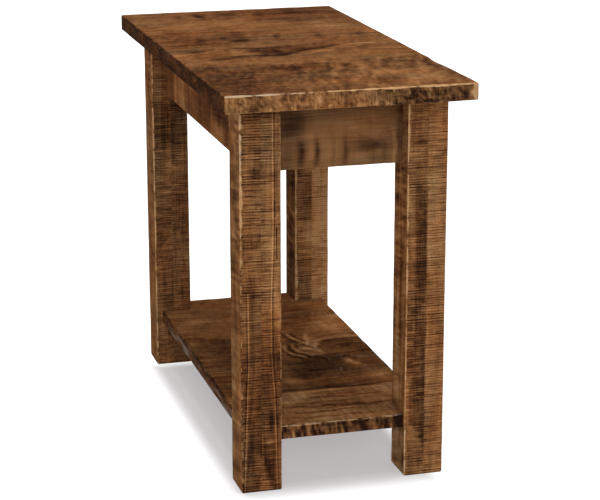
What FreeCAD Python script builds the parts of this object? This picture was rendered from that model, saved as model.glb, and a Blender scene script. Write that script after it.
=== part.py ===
"""Rustic side table with a lower shelf, joined from solid boards, in millimetres.

X runs along the short side, Y along the long side and Z up. The origin is on the floor,
under the middle of the table. Front is -Y and right is +X. What is the same in every corner
is built once, in the corner at the back right, and mirrored into the other three.
"""
import FreeCAD, Part
import os
import Sketcher

# Driving dimensions: name, size and what it measures
SIZES = (
    ("table_height", 622, "floor to the upper face of the top"),
    ("top_width", 386, "top, along X"),
    ("top_length", 768, "top, along Y"),
    ("top_thickness", 26, "top, a planed 1 1/8 inch board"),
    ("top_front_board", 234, "width of the first board of the top, along Y"),
    ("top_second_board", 165, "width of the second board of the top"),
    ("top_third_board", 161, "width of the third board, and the last one takes the rest"),
    ("top_corner_round", 6, "radius of the worn corners of the top, seen from above"),
    ("top_arris", 3, "radius of the worn upper edges of the top"),
    ("top_lower_arris", 1.5, "radius of the lower edges of the top"),
    ("dip_length", 84, "shallow dip in the right edge of the top, along Y"),
    ("dip_depth", 4, "depth of that dip"),
    ("dip_from_front", 180, "middle of that dip, from the front edge"),
    ("frame_width", 321, "over the outer faces of the legs, along X"),
    ("frame_length", 686, "over the outer faces of the legs, along Y"),
    ("leg_size", 63, "side of the square leg, two glued boards"),
    ("leg_arris", 2, "radius of the long edges of a leg"),
    ("foot_arris", 1.5, "bevel round the foot"),
    ("apron_height", 103, "apron, top to bottom"),
    ("apron_thickness", 21, "apron, face to face"),
    ("apron_recess", 27, "outer face of an apron behind the outer face of the legs"),
    ("apron_arris", 1.5, "radius of the lower edges of an apron"),
    ("tenon_thickness", 9.5, "tenon and haunch"),
    ("tenon_setback", 3, "tenon from the inner face of its apron"),
    ("tenon_shoulder", 12, "shoulder under a tenon"),
    ("haunch_height", 14, "haunch above a tenon"),
    ("haunch_length", 8, "haunch into the leg"),
    ("mitre_gap", 0.8, "between the mitred ends of two tenons, along each tenon"),
    ("mortise_bottom_gap", 1, "between the long end of a tenon and the end of its mortise"),
    ("glue_gap", 0.1, "all round a tenon and a housed corner"),
    ("shelf_height", 99.5, "floor to the upper face of the shelf"),
    ("shelf_thickness", 22, "shelf, a planed 7/8 inch board"),
    ("shelf_front_board", 145, "width of the first board of the shelf, along Y"),
    ("shelf_middle_board", 285, "width of the middle board, and the last one takes the rest"),
    ("shelf_side_recess", 12, "edge of the shelf behind the outer faces of the legs, along X"),
    ("shelf_end_recess", 9, "edge of the shelf behind the outer faces of the legs, along Y"),
    ("shelf_arris", 2, "radius of the edges of the shelf"),
    ("housing_depth", 8, "shelf let into the leg"),
    ("block_run", 45, "corner block along each apron, from the leg"),
    ("block_height", 32, "corner block, top to bottom"),
    ("block_drop", 33, "top of a corner block under the top of the aprons"),
    ("block_leg_gap", 2, "notch of a corner block round the leg"),
    ("block_screw_inset", 18, "screw of a corner block from the leg"),
    ("block_screw_spread", 7, "screw above or below the middle of the block"),
    ("block_screw_grip", 20, "wood of a corner block under the head of a screw"),
    ("block_screw_length", 34, "screw of a corner block"),
    ("groove_drop", 10, "groove for the buttons under the top of the apron"),
    ("groove_height", 8, "groove for the buttons"),
    ("groove_depth", 9, "groove for the buttons"),
    ("button_length", 34, "button under the top, along X, without its tongue"),
    ("button_width", 32, "button along the apron"),
    ("button_spacing", 200, "middle of a button to the middle of the next"),
    ("button_play", 0.5, "button from the apron"),
    ("button_pull_gap", 0.3, "left under the top, so that the button pulls it down"),
    ("button_arris", 2, "bevel along the free end of a button"),
    ("tongue_length", 8, "tongue of a button, in the groove"),
    ("tongue_height", 7, "tongue of a button"),
    ("button_screw_length", 32, "screw of a button"),
    ("screw_shank", 4, "diameter of a screw"),
    ("screw_head", 8, "diameter of its countersunk head"),
    ("screw_head_height", 2.6, "height of that head"),
    ("screw_tip", 5, "tapered tip of a screw"),
    ("screw_gap", 0.2, "between a screw and the wood, all round"),
    ("counterbore_gap", 0.75, "between a screw head and the counterbore over it"),
    ("pilot_end_gap", 1, "pilot hole beyond the tip of a screw"),
    ("cut_overrun", 5, "how far a cut runs out past the wood"),
)

# Places that several pieces share, as expressions on the sheet
APRON_TOP = "(sizes.table_height - sizes.top_thickness)"
APRON_BOTTOM = f"({APRON_TOP} - sizes.apron_height)"
LEG_OUT_X = "(sizes.frame_width / 2)"
LEG_OUT_Y = "(sizes.frame_length / 2)"
LEG_IN_X = f"({LEG_OUT_X} - sizes.leg_size)"
LEG_IN_Y = f"({LEG_OUT_Y} - sizes.leg_size)"
LEG_GLUE_X = f"({LEG_OUT_X} - sizes.leg_size / 2)"
APRON_IN_X = f"({LEG_OUT_X} - sizes.apron_recess - sizes.apron_thickness)"
APRON_IN_Y = f"({LEG_OUT_Y} - sizes.apron_recess - sizes.apron_thickness)"
# The inner cheek of each tenon, and how far that cheek reaches into the leg before the mitre
TENON_IN_X = f"({APRON_IN_X} + sizes.tenon_setback)"
TENON_IN_Y = f"({APRON_IN_Y} + sizes.tenon_setback)"
TENON_REACH = "(sizes.leg_size - sizes.apron_recess - sizes.apron_thickness + sizes.tenon_setback)"
TENON_BOTTOM = f"({APRON_BOTTOM} + sizes.tenon_shoulder)"
HAUNCH_BOTTOM = f"({APRON_TOP} - sizes.haunch_height)"
SHELF_BOTTOM = "(sizes.shelf_height - sizes.shelf_thickness)"
SHELF_SIDE = f"({LEG_OUT_X} - sizes.shelf_side_recess)"
SHELF_END = f"({LEG_OUT_Y} - sizes.shelf_end_recess)"
# The corner that is left on the shelf stands this far inside the housing of the leg
HOUSED_X = f"({LEG_IN_X} + sizes.housing_depth - sizes.glue_gap)"
HOUSED_Y = f"({LEG_IN_Y} + sizes.housing_depth - sizes.glue_gap)"
BLOCK_MIDDLE = f"({APRON_TOP} - sizes.block_drop - sizes.block_height / 2)"
BLOCK_SCREW_X = f"({LEG_IN_X} - sizes.block_screw_inset)"
BLOCK_SCREW_Y = f"({LEG_IN_Y} - sizes.block_screw_inset)"
HEAD_BORE_RADIUS = "(sizes.screw_head / 2 + sizes.counterbore_gap)"
SHANK_BORE_RADIUS = "(sizes.screw_shank / 2 + sizes.screw_gap)"
GROOVE_TOP = f"({APRON_TOP} - sizes.groove_drop)"
BUTTON_BOTTOM = f"({GROOVE_TOP} - sizes.tongue_height)"
BUTTON_FRONT_X = f"({APRON_IN_X} - sizes.button_play)"
BUTTON_MIDDLE_X = f"({BUTTON_FRONT_X} - sizes.button_length / 2)"

TOUCH = 1e-4  # two coordinates closer than this are the same

doc = FreeCAD.newDocument("rustic_table")
sheet = doc.addObject("Spreadsheet::Sheet", "sizes")
for row, (alias, number, note) in enumerate(SIZES, start=1):
    sheet.set(f"A{row}", note)
    sheet.set(f"B{row}", str(number))
    sheet.setAlias(f"B{row}", alias)
doc.recompute()

nodes = []


def value(expression):
    """The number that an expression on the sheet gives."""
    return float(sheet.evalExpression(expression))


def node(item, label):
    """Name a finished sub-part and keep it for the export."""
    item.Label = label
    nodes.append(item)
    return item


def origin_plane(body, role):
    """One of the three origin planes of a body."""
    return next(item for item in body.Origin.OriginFeatures if item.Role == role)


def attach(body, item, role, offset=("0", "0", "0")):
    """Put a sketch or a primitive on an origin plane, moved by three expressions."""
    item.AttachmentSupport = [(origin_plane(body, role), "")]
    item.MapMode = "FlatFace"
    for axis, expression in zip("xyz", offset):
        item.setExpression(f"AttachmentOffset.Base.{axis}", expression)


def polygon(body, name, role, points, level="0"):
    """A closed outline through points given as pairs of expressions."""
    sketch = body.newObject("Sketcher::SketchObject", name)
    attach(body, sketch, role, ("0", "0", level))
    places = [FreeCAD.Vector(value(across), value(up), 0) for across, up in points]
    count = len(points)
    for index in range(count):
        sketch.addGeometry(Part.LineSegment(places[index], places[(index + 1) % count]))
    for index in range(count):
        sketch.addConstraint(Sketcher.Constraint("Coincident", index, 2, (index + 1) % count, 1))
    for index, (across, up) in enumerate(points):
        bind_point(sketch, index, "DistanceX", -2, across, places[index].x)
        bind_point(sketch, index, "DistanceY", -1, up, places[index].y)
    return sketch


def bind_point(sketch, index, kind, axis, expression, distance):
    """Hold one coordinate of the start of a line by its expression, or on the axis."""
    if expression == "0":
        sketch.addConstraint(Sketcher.Constraint("PointOnObject", index, 1, axis))
        return
    number = sketch.addConstraint(Sketcher.Constraint(kind, -1, 1, index, 1, distance))
    sketch.setExpression(f"Constraints[{number}]", expression)


def pad(body, name, sketch, length):
    """Raise a sketch along its normal."""
    feature = body.newObject("PartDesign::Pad", name)
    feature.Profile = sketch
    feature.setExpression("Length", length)
    return feature


def box_cut(body, name, low, size):
    """Cut a box out of a body, from its low corner and its three lengths."""
    feature = body.newObject("PartDesign::SubtractiveBox", name)
    attach(body, feature, "XY_Plane", low)
    for side, expression in zip(("Length", "Width", "Height"), size):
        feature.setExpression(side, expression)
    return feature


def round_cut(body, name, role, centre, radius, depth):
    """Cut a cylinder out of a body, along the normal of an origin plane."""
    feature = body.newObject("PartDesign::SubtractiveCylinder", name)
    attach(body, feature, role, centre)
    feature.setExpression("Radius", radius)
    feature.setExpression("Height", depth)
    return feature


def ease(body, kind, name, size, chosen):
    """Round or bevel the edges of a body that a test chooses."""
    doc.recompute()
    base = body.Tip
    numbers = [number for number, edge in enumerate(base.Shape.Edges, start=1) if chosen(edge)]
    feature = body.newObject(f"PartDesign::{kind}", name)
    feature.Base = (base, [f"Edge{number}" for number in numbers])
    feature.setExpression("Radius" if kind == "Fillet" else "Size", size)
    return feature


def lies_at(edge, axis, place):
    """True when the whole edge has one and the same coordinate on an axis."""
    ends = [getattr(vertex.Point, axis) for vertex in edge.Vertexes]
    return all(abs(end - place) < TOUCH for end in ends)


def is_upright(edge):
    """True for an edge that runs along Z."""
    first = edge.Vertexes[0].Point
    return lies_at(edge, "x", first.x) and lies_at(edge, "y", first.y)


def mirrored(source, name, normal):
    """A mirror image across the plane through the middle of the table."""
    image = doc.addObject("Part::Mirroring", name)
    image.Source = source
    image.Normal = normal
    return image


def all_corners(source, pattern):
    """The corner at the back right and its three mirror images, named for their corners."""
    across_x = FreeCAD.Vector(1, 0, 0)
    across_y = FreeCAD.Vector(0, 1, 0)
    back_left = mirrored(source, pattern.format("back_left"), across_x)
    front_right = mirrored(source, pattern.format("front_right"), across_y)
    front_left = mirrored(back_left, pattern.format("front_left"), across_y)
    return {"back_right": source, "back_left": back_left,
            "front_right": front_right, "front_left": front_left}


def group(name, items):
    """Several alike solids that share one node."""
    compound = doc.addObject("Part::Compound", name)
    compound.Links = items
    return compound


def leg_board(name, low_x, high_x):
    """One of the two boards of a leg, full height, with its outer edges worn round."""
    body = doc.addObject("PartDesign::Body", name)
    outline = polygon(body, f"{name}_outline", "XY_Plane", [
        (low_x, LEG_IN_Y),
        (high_x, LEG_IN_Y),
        (high_x, LEG_OUT_Y),
        (low_x, LEG_OUT_Y),
    ])
    pad(body, f"{name}_length", outline, APRON_TOP)
    glue_line = value(LEG_GLUE_X)

    def outer_long_edge(edge):
        return is_upright(edge) and not lies_at(edge, "x", glue_line)

    def foot_edge(edge):
        return lies_at(edge, "z", 0) and not lies_at(edge, "x", glue_line)

    ease(body, "Fillet", f"{name}_arris", "sizes.leg_arris", outer_long_edge)
    ease(body, "Chamfer", f"{name}_foot", "sizes.foot_arris", foot_edge)
    return body


def shelf_housing(body, name, low_x, high_x, low_y, high_y):
    """Cut one arm of the housing that the corner of the shelf sits in."""
    height = "(sizes.shelf_thickness + sizes.glue_gap)"
    size = (f"({high_x}) - ({low_x})", f"({high_y}) - ({low_y})", height)
    box_cut(body, name, (low_x, low_y, SHELF_BOTTOM), size)


def mortise(body, name, low, size):
    """Cut the mortise of a tenon, and the shallow slot of its haunch, open at the top.

    The low corner and the length and width are those of the long part of the mortise.
    """
    mortise_height = f"({HAUNCH_BOTTOM} - {TENON_BOTTOM} + 2 * sizes.glue_gap)"
    bottom = f"({TENON_BOTTOM} - sizes.glue_gap)"
    box_cut(body, name, (low[0], low[1], bottom), (size[0], size[1], mortise_height))


def haunch_slot(body, name, low, size):
    """Cut the slot of a haunch, up through the top of the leg."""
    bottom = f"({HAUNCH_BOTTOM} - sizes.glue_gap)"
    height = f"({APRON_TOP} - {bottom} + sizes.cut_overrun)"
    box_cut(body, name, (low[0], low[1], bottom), (size[0], size[1], height))


def build_leg():
    """The leg at the back right: two boards, mortised for two aprons, housed for the shelf."""
    inner = leg_board("leg_inner", LEG_IN_X, LEG_GLUE_X)
    outer = leg_board("leg_outer", LEG_GLUE_X, LEG_OUT_X)

    long_cheek = f"({TENON_REACH} + sizes.tenon_thickness + sizes.mortise_bottom_gap)"
    slot_width = "(sizes.tenon_thickness + 2 * sizes.glue_gap)"
    deep = f"({long_cheek} + sizes.cut_overrun)"
    shallow = "(sizes.haunch_length + sizes.mortise_bottom_gap + sizes.cut_overrun)"
    start_x = f"({LEG_IN_X} - sizes.cut_overrun)"
    start_y = f"({LEG_IN_Y} - sizes.cut_overrun)"
    cheek_x = f"({TENON_IN_X} - sizes.glue_gap)"
    cheek_y = f"({TENON_IN_Y} - sizes.glue_gap)"
    mortise(inner, "end_apron_mortise", (start_x, cheek_y), (deep, slot_width))
    mortise(inner, "side_apron_mortise", (cheek_x, start_y), (slot_width, deep))
    haunch_slot(inner, "end_apron_haunch_slot", (start_x, cheek_y), (shallow, slot_width))
    haunch_slot(inner, "side_apron_haunch_slot", (cheek_x, start_y), (slot_width, shallow))

    arm_x = f"({LEG_IN_X} + sizes.housing_depth)"
    arm_y = f"({LEG_IN_Y} + sizes.housing_depth)"
    side_end = f"({SHELF_SIDE} + sizes.glue_gap)"
    end_end = f"({SHELF_END} + sizes.glue_gap)"
    past_glue = f"({LEG_GLUE_X} + sizes.cut_overrun)"
    before_glue = f"({LEG_GLUE_X} - sizes.cut_overrun)"
    shelf_housing(inner, "inner_end_housing", start_x, arm_x, start_y, end_end)
    shelf_housing(inner, "inner_side_housing", start_x, past_glue, start_y, arm_y)
    shelf_housing(outer, "outer_side_housing", before_glue, side_end, start_y, arm_y)

    for board, part_of_leg in ((inner, "inner"), (outer, "outer")):
        pattern = "leg_{}_" + part_of_leg
        for corner, item in all_corners(board, pattern).items():
            node(item, pattern.format(corner))


def build_apron(name, half_span, tenon_in, tenon_mitre, half_out, screw_side, screw_level):
    """An apron along its own X, with its outer face toward its own Y.

    half_span: half the opening between the legs, where the shoulders are.
    tenon_in: inner cheek of its tenons, across the apron.
    tenon_mitre: how far along the apron the inner cheek runs to the mitre.
    half_out: outer face of the legs, across the apron.
    """
    body = doc.addObject("PartDesign::Body", name)
    inner_face = f"({half_out} - sizes.apron_recess - sizes.apron_thickness)"
    outer_face = f"({half_out} - sizes.apron_recess)"
    face = polygon(body, f"{name}_plan", "XY_Plane", [
        (f"-{half_span}", inner_face),
        (half_span, inner_face),
        (half_span, outer_face),
        (f"-{half_span}", outer_face),
    ], APRON_BOTTOM)
    pad(body, f"{name}_board", face, "sizes.apron_height")
    bottom = value(APRON_BOTTOM)
    ends = value(half_span)

    def lower_long_edge(edge):
        crosswise = lies_at(edge, "x", ends) or lies_at(edge, "x", -ends)
        return lies_at(edge, "z", bottom) and not crosswise

    ease(body, "Fillet", f"{name}_arris", "sizes.apron_arris", lower_long_edge)

    tenon_out = f"({tenon_in} + sizes.tenon_thickness)"
    short_end = f"({tenon_mitre} - sizes.mitre_gap)"
    long_end = f"({tenon_mitre} + sizes.tenon_thickness - sizes.mitre_gap)"
    tenons = polygon(body, f"{name}_tenon_plan", "XY_Plane", [
        (f"-{short_end}", tenon_in),
        (short_end, tenon_in),
        (long_end, tenon_out),
        (f"-{long_end}", tenon_out),
    ], TENON_BOTTOM)
    pad(body, f"{name}_tenons", tenons, f"{HAUNCH_BOTTOM} - {TENON_BOTTOM}")
    haunch_end = f"({half_span} + sizes.haunch_length)"
    haunches = polygon(body, f"{name}_haunch_plan", "XY_Plane", [
        (f"-{haunch_end}", tenon_in),
        (haunch_end, tenon_in),
        (haunch_end, tenon_out),
        (f"-{haunch_end}", tenon_out),
    ], HAUNCH_BOTTOM)
    pad(body, f"{name}_haunches", haunches, "sizes.haunch_height")

    depth = "(sizes.block_screw_length - sizes.block_screw_grip + sizes.pilot_end_gap)"
    for side, sign in (("left", "-"), ("right", "")):
        # The normal of the XZ plane points to -Y, so a hole that runs to +Y starts at its end
        far_end = f"-({inner_face} + {depth})"
        centre = (f"{sign}{screw_side}", screw_level, far_end)
        length = f"({depth} + sizes.cut_overrun)"
        round_cut(body, f"{name}_pilot_{side}", "XZ_Plane", centre, SHANK_BORE_RADIUS, length)
    return body


def build_aprons():
    """Two end aprons along X, and two side aprons along Y with the groove of the buttons."""
    end_level = f"({BLOCK_MIDDLE} - sizes.block_screw_spread)"
    side_level = f"({BLOCK_MIDDLE} + sizes.block_screw_spread)"
    back = build_apron("apron_back", LEG_IN_X, TENON_IN_Y, TENON_IN_X, LEG_OUT_Y,
                       BLOCK_SCREW_X, end_level)
    right = build_apron("apron_right", LEG_IN_Y, TENON_IN_X, TENON_IN_Y, LEG_OUT_X,
                        BLOCK_SCREW_Y, side_level)
    groove_low = (f"-{LEG_IN_Y}", f"({APRON_IN_X} - sizes.cut_overrun)",
                  f"({GROOVE_TOP} - sizes.groove_height)")
    groove_size = (f"2 * {LEG_IN_Y}", "sizes.groove_depth + sizes.cut_overrun",
                   "sizes.groove_height")
    box_cut(right, "button_groove", groove_low, groove_size)
    # Turned so that its own Y, the outward side, points along +X
    right.Placement.Rotation = FreeCAD.Rotation(FreeCAD.Vector(0, 0, 1), -90)
    node(back, "apron_back")
    node(right, "apron_right")
    node(mirrored(back, "apron_front", FreeCAD.Vector(0, 1, 0)), "apron_front")
    node(mirrored(right, "apron_left", FreeCAD.Vector(1, 0, 0)), "apron_left")


def screw(name, length):
    """A countersunk wood screw along its own Z, with its head's flat face at zero."""
    body = doc.addObject("PartDesign::Body", name)
    shank = "sizes.screw_shank / 2"
    profile = polygon(body, f"{name}_profile", "XZ_Plane", [
        ("0", "0"),
        ("sizes.screw_head / 2", "0"),
        (shank, "sizes.screw_head_height"),
        (shank, f"{length} - sizes.screw_tip"),
        ("0", length),
    ])
    turned = body.newObject("PartDesign::Revolution", f"{name}_turned")
    turned.Profile = profile
    turned.ReferenceAxis = (profile, ["V_Axis"])
    return body


def place(item, base, rotation=None):
    """Set the place of an item by three expressions, and its turn."""
    if rotation is not None:
        item.Placement.Rotation = rotation
    for axis, expression in zip("xyz", base):
        item.setExpression(f"Placement.Base.{axis}", expression)


def build_corner_blocks():
    """A block across each inner corner of the aprons, notched round the leg, two screws each."""
    body = doc.addObject("PartDesign::Body", "corner_block")
    notch_x = f"({LEG_IN_X} - sizes.block_leg_gap)"
    notch_y = f"({LEG_IN_Y} - sizes.block_leg_gap)"
    outline = polygon(body, "corner_block_plan", "XY_Plane", [
        (APRON_IN_X, f"{LEG_IN_Y} - sizes.block_run"),
        (APRON_IN_X, notch_y),
        (notch_x, notch_y),
        (notch_x, APRON_IN_Y),
        (f"{LEG_IN_X} - sizes.block_run", APRON_IN_Y),
    ], f"{BLOCK_MIDDLE} - sizes.block_height / 2")
    pad(body, "corner_block_height", outline, "sizes.block_height")

    end_level = f"({BLOCK_MIDDLE} - sizes.block_screw_spread)"
    side_level = f"({BLOCK_MIDDLE} + sizes.block_screw_spread)"
    head_x = f"({APRON_IN_X} - sizes.block_screw_grip)"
    head_y = f"({APRON_IN_Y} - sizes.block_screw_grip)"
    bore_length = "(sizes.block_run - sizes.block_screw_grip + sizes.cut_overrun)"
    grip_length = "(sizes.block_screw_grip + sizes.cut_overrun)"
    # On the YZ plane the offsets run along Y, Z and X, and on the XZ plane along X, Z and -Y
    bores = (
        ("side", "YZ_Plane", (BLOCK_SCREW_Y, side_level, f"{head_x} - {bore_length}"),
         (BLOCK_SCREW_Y, side_level, head_x)),
        ("end", "XZ_Plane", (BLOCK_SCREW_X, end_level, f"-{head_y}"),
         (BLOCK_SCREW_X, end_level, f"-({head_y} + {grip_length})")),
    )
    for side, role, head_place, shank_place in bores:
        round_cut(body, f"{side}_counterbore", role, head_place, HEAD_BORE_RADIUS, bore_length)
        round_cut(body, f"{side}_screw_hole", role, shank_place, SHANK_BORE_RADIUS, grip_length)
        countersink(body, f"{side}_countersink", role, shank_place, side == "end", grip_length)
    for corner, item in all_corners(body, "corner_block_{}").items():
        node(item, f"corner_block_{corner}")

    side_screw = screw("side_block_screw", "sizes.block_screw_length")
    toward_x = FreeCAD.Rotation(FreeCAD.Vector(0, 1, 0), 90)
    place(side_screw, (head_x, BLOCK_SCREW_Y, side_level), toward_x)
    end_screw = screw("end_block_screw", "sizes.block_screw_length")
    toward_y = FreeCAD.Rotation(FreeCAD.Vector(1, 0, 0), -90)
    place(end_screw, (BLOCK_SCREW_X, head_y, end_level), toward_y)
    pair = group("block_screw_pair", [side_screw, end_screw])
    corners = all_corners(pair, "block_screws_{}")
    node(group("corner_block_screws", list(corners.values())), "corner_block_screws")


def countersink(body, name, role, hole_place, reversed_axis, hole_length):
    """Widen the start of a screw hole for the cone of the screw's head."""
    cone = body.newObject("PartDesign::SubtractiveCone", name)
    wide = "(sizes.screw_head / 2 + sizes.screw_gap)"
    if reversed_axis:
        along = f"({hole_place[2]} + {hole_length} - sizes.screw_head_height)"
        first, second = SHANK_BORE_RADIUS, wide
    else:
        along = hole_place[2]
        first, second = wide, SHANK_BORE_RADIUS
    attach(body, cone, role, (hole_place[0], hole_place[1], along))
    cone.setExpression("Radius1", first)
    cone.setExpression("Radius2", second)
    cone.setExpression("Height", "sizes.screw_head_height")


def button(name):
    """A rebated wooden block: its tongue sits in the groove of the side apron."""
    body = doc.addObject("PartDesign::Body", name)
    low_x = f"({BUTTON_FRONT_X} - sizes.button_length)"
    tongue_end = f"({BUTTON_FRONT_X} + sizes.tongue_length)"
    upper = f"({APRON_TOP} - sizes.button_pull_gap)"
    profile = polygon(body, f"{name}_side", "XZ_Plane", [
        (f"{low_x} + sizes.button_arris", BUTTON_BOTTOM),
        (tongue_end, BUTTON_BOTTOM),
        (tongue_end, GROOVE_TOP),
        (BUTTON_FRONT_X, GROOVE_TOP),
        (BUTTON_FRONT_X, upper),
        (low_x, upper),
        (low_x, f"{BUTTON_BOTTOM} + sizes.button_arris"),
    ], "-sizes.button_width / 2")
    pad(body, f"{name}_block", profile, "sizes.button_width")
    hole_place = (BUTTON_MIDDLE_X, "0", BUTTON_BOTTOM)
    hole_length = f"({APRON_TOP} - {BUTTON_BOTTOM})"
    round_cut(body, f"{name}_hole", "XY_Plane", hole_place, SHANK_BORE_RADIUS, hole_length)
    countersink(body, f"{name}_countersink", "XY_Plane", hole_place, False, hole_length)
    return body


def build_buttons():
    """Three buttons along each side apron, each screwed up into the top."""
    right_screws = []
    pilots = []
    for label, steps in (("front", -1), ("middle", 0), ("back", 1)):
        along = f"{steps} * sizes.button_spacing"
        block = button(f"top_button_right_{label}")
        place(block, ("0", along, "0"))
        node(block, f"top_button_right_{label}")
        left = mirrored(block, f"top_button_left_{label}", FreeCAD.Vector(1, 0, 0))
        node(left, f"top_button_left_{label}")
        button_screw = screw(f"button_screw_{label}", "sizes.button_screw_length")
        place(button_screw, (BUTTON_MIDDLE_X, along, BUTTON_BOTTOM))
        right_screws.append(button_screw)
        pilot = doc.addObject("Part::Cylinder", f"button_pilot_{label}")
        pilot.setExpression("Radius", SHANK_BORE_RADIUS)
        pilot.setExpression("Height", "sizes.button_screw_length + sizes.pilot_end_gap")
        place(pilot, (BUTTON_MIDDLE_X, along, BUTTON_BOTTOM))
        pilots.append(pilot)
    right_group = group("button_screws_right", right_screws)
    left_group = mirrored(right_group, "button_screws_left", FreeCAD.Vector(1, 0, 0))
    node(group("top_button_screws", [right_group, left_group]), "top_button_screws")
    right_pilots = group("button_pilots_right", pilots)
    left_pilots = mirrored(right_pilots, "button_pilots_left", FreeCAD.Vector(1, 0, 0))
    return group("button_pilots", [right_pilots, left_pilots])


def board_edge_tests(low_seam, high_seam, upper, lower):
    """Tests for the outer edges of a board, upper and lower, that leave its seams sharp."""
    def outer(edge, level):
        on_seam = any(seam is not None and lies_at(edge, "y", seam)
                      for seam in (low_seam, high_seam))
        return lies_at(edge, "z", level) and not on_seam

    return (lambda edge: outer(edge, upper)), (lambda edge: outer(edge, lower))


def build_top(pilots):
    """Four boards edge to edge, across the table, with their outer edges worn round."""
    front = "-sizes.top_length / 2"
    first = f"({front} + sizes.top_front_board)"
    second = f"({first} + sizes.top_second_board)"
    third = f"({second} + sizes.top_third_board)"
    boards = (
        ("top_board_front", front, first),
        ("top_board_second", first, second),
        ("top_board_third", second, third),
        ("top_board_back", third, "sizes.top_length / 2"),
    )
    half = "sizes.top_width / 2"
    for label, low_y, high_y in boards:
        body = doc.addObject("PartDesign::Body", f"{label}_body")
        plan = polygon(body, f"{label}_plan", "XY_Plane", [
            (f"-{half}", low_y),
            (half, low_y),
            (half, high_y),
            (f"-{half}", high_y),
        ], APRON_TOP)
        pad(body, f"{label}_board", plan, "sizes.top_thickness")
        low_seam = None if label == "top_board_front" else value(low_y)
        high_seam = None if label == "top_board_back" else value(high_y)
        end = value("sizes.top_length / 2")

        def plan_corner(edge):
            return is_upright(edge) and (lies_at(edge, "y", end) or lies_at(edge, "y", -end))

        if low_seam is None or high_seam is None:
            ease(body, "Fillet", f"{label}_corners", "sizes.top_corner_round", plan_corner)
        if label == "top_board_front":
            wear_dip(body)
        upper, lower = board_edge_tests(low_seam, high_seam, value("sizes.table_height"),
                                        value(APRON_TOP))
        ease(body, "Fillet", f"{label}_upper_arris", "sizes.top_arris", upper)
        ease(body, "Fillet", f"{label}_lower_arris", "sizes.top_lower_arris", lower)
        bored = doc.addObject("Part::Cut", label)
        bored.Base = body
        bored.Tool = pilots
        node(bored, label)


def wear_dip(body):
    """The long shallow dip in the right edge of the front board, an arc seen from above."""
    radius = "((sizes.dip_length / 2) ^ 2 + sizes.dip_depth ^ 2) / (2 * sizes.dip_depth)"
    centre_x = f"(sizes.top_width / 2 - sizes.dip_depth + {radius})"
    centre_y = "(sizes.dip_from_front - sizes.top_length / 2)"
    centre = (centre_x, centre_y, f"({APRON_TOP} - sizes.cut_overrun)")
    depth = "sizes.top_thickness + 2 * sizes.cut_overrun"
    round_cut(body, "worn_dip", "XY_Plane", centre, radius, depth)


def build_shelf():
    """Three boards edge to edge, the outer two notched round the legs."""
    front = f"-{SHELF_END}"
    first = f"({front} + sizes.shelf_front_board)"
    second = f"({first} + sizes.shelf_middle_board)"
    boards = (
        ("shelf_board_front", front, first, "-"),
        ("shelf_board_middle", first, second, None),
        ("shelf_board_back", SHELF_END, second, ""),
    )
    for label, outer_y, seam_y, sign in boards:
        body = doc.addObject("PartDesign::Body", label)
        if sign is None:
            points = [(f"-{SHELF_SIDE}", outer_y), (SHELF_SIDE, outer_y),
                      (SHELF_SIDE, seam_y), (f"-{SHELF_SIDE}", seam_y)]
        else:
            notch_y = f"{sign}{HOUSED_Y}"
            points = [(f"-{HOUSED_X}", outer_y), (HOUSED_X, outer_y), (HOUSED_X, notch_y),
                      (SHELF_SIDE, notch_y), (SHELF_SIDE, seam_y), (f"-{SHELF_SIDE}", seam_y),
                      (f"-{SHELF_SIDE}", notch_y), (f"-{HOUSED_X}", notch_y)]
        plan = polygon(body, f"{label}_plan", "XY_Plane", points, SHELF_BOTTOM)
        pad(body, f"{label}_board", plan, "sizes.shelf_thickness")
        low_seam = value(outer_y) if sign is None else None
        upper, lower = board_edge_tests(low_seam, value(seam_y), value("sizes.shelf_height"),
                                        value(SHELF_BOTTOM))
        side = value(SHELF_SIDE)
        end = value(SHELF_END)

        def free(edge):
            on_side = lies_at(edge, "x", side) or lies_at(edge, "x", -side)
            return on_side or lies_at(edge, "y", end) or lies_at(edge, "y", -end)

        ease(body, "Fillet", f"{label}_upper_arris", "sizes.shelf_arris",
             lambda edge: upper(edge) and free(edge))
        ease(body, "Fillet", f"{label}_lower_arris", "sizes.shelf_arris",
             lambda edge: lower(edge) and free(edge))
        node(body, label)


def check_and_export():
    """Stop on any failed object or shape, then write one file for each sub-part."""
    doc.recompute()
    for item in doc.Objects:
        if {"Invalid", "Error"} & set(item.State):
            raise RuntimeError(f"{item.Label} failed: {item.State}")
    for item in nodes:
        if item.Shape.isNull() or not item.Shape.isValid():
            raise RuntimeError(f"{item.Label} has no valid shape")
    os.makedirs("parts", exist_ok=True)
    for item in nodes:
        item.Shape.exportStep(os.path.join("parts", f"{item.Label}.step"))
        print(item.Label, len(item.Shape.Solids), round(item.Shape.Volume, 1))


build_leg()
build_aprons()
build_corner_blocks()
build_top(build_buttons())
build_shelf()
check_and_export()
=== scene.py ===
"""Rustic side table with a lower shelf: sawn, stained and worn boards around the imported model."""

import itertools
import math
from functools import partialmethod

import bmesh
import bpy
import numpy as np
from mathutils import Matrix, Vector


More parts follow.
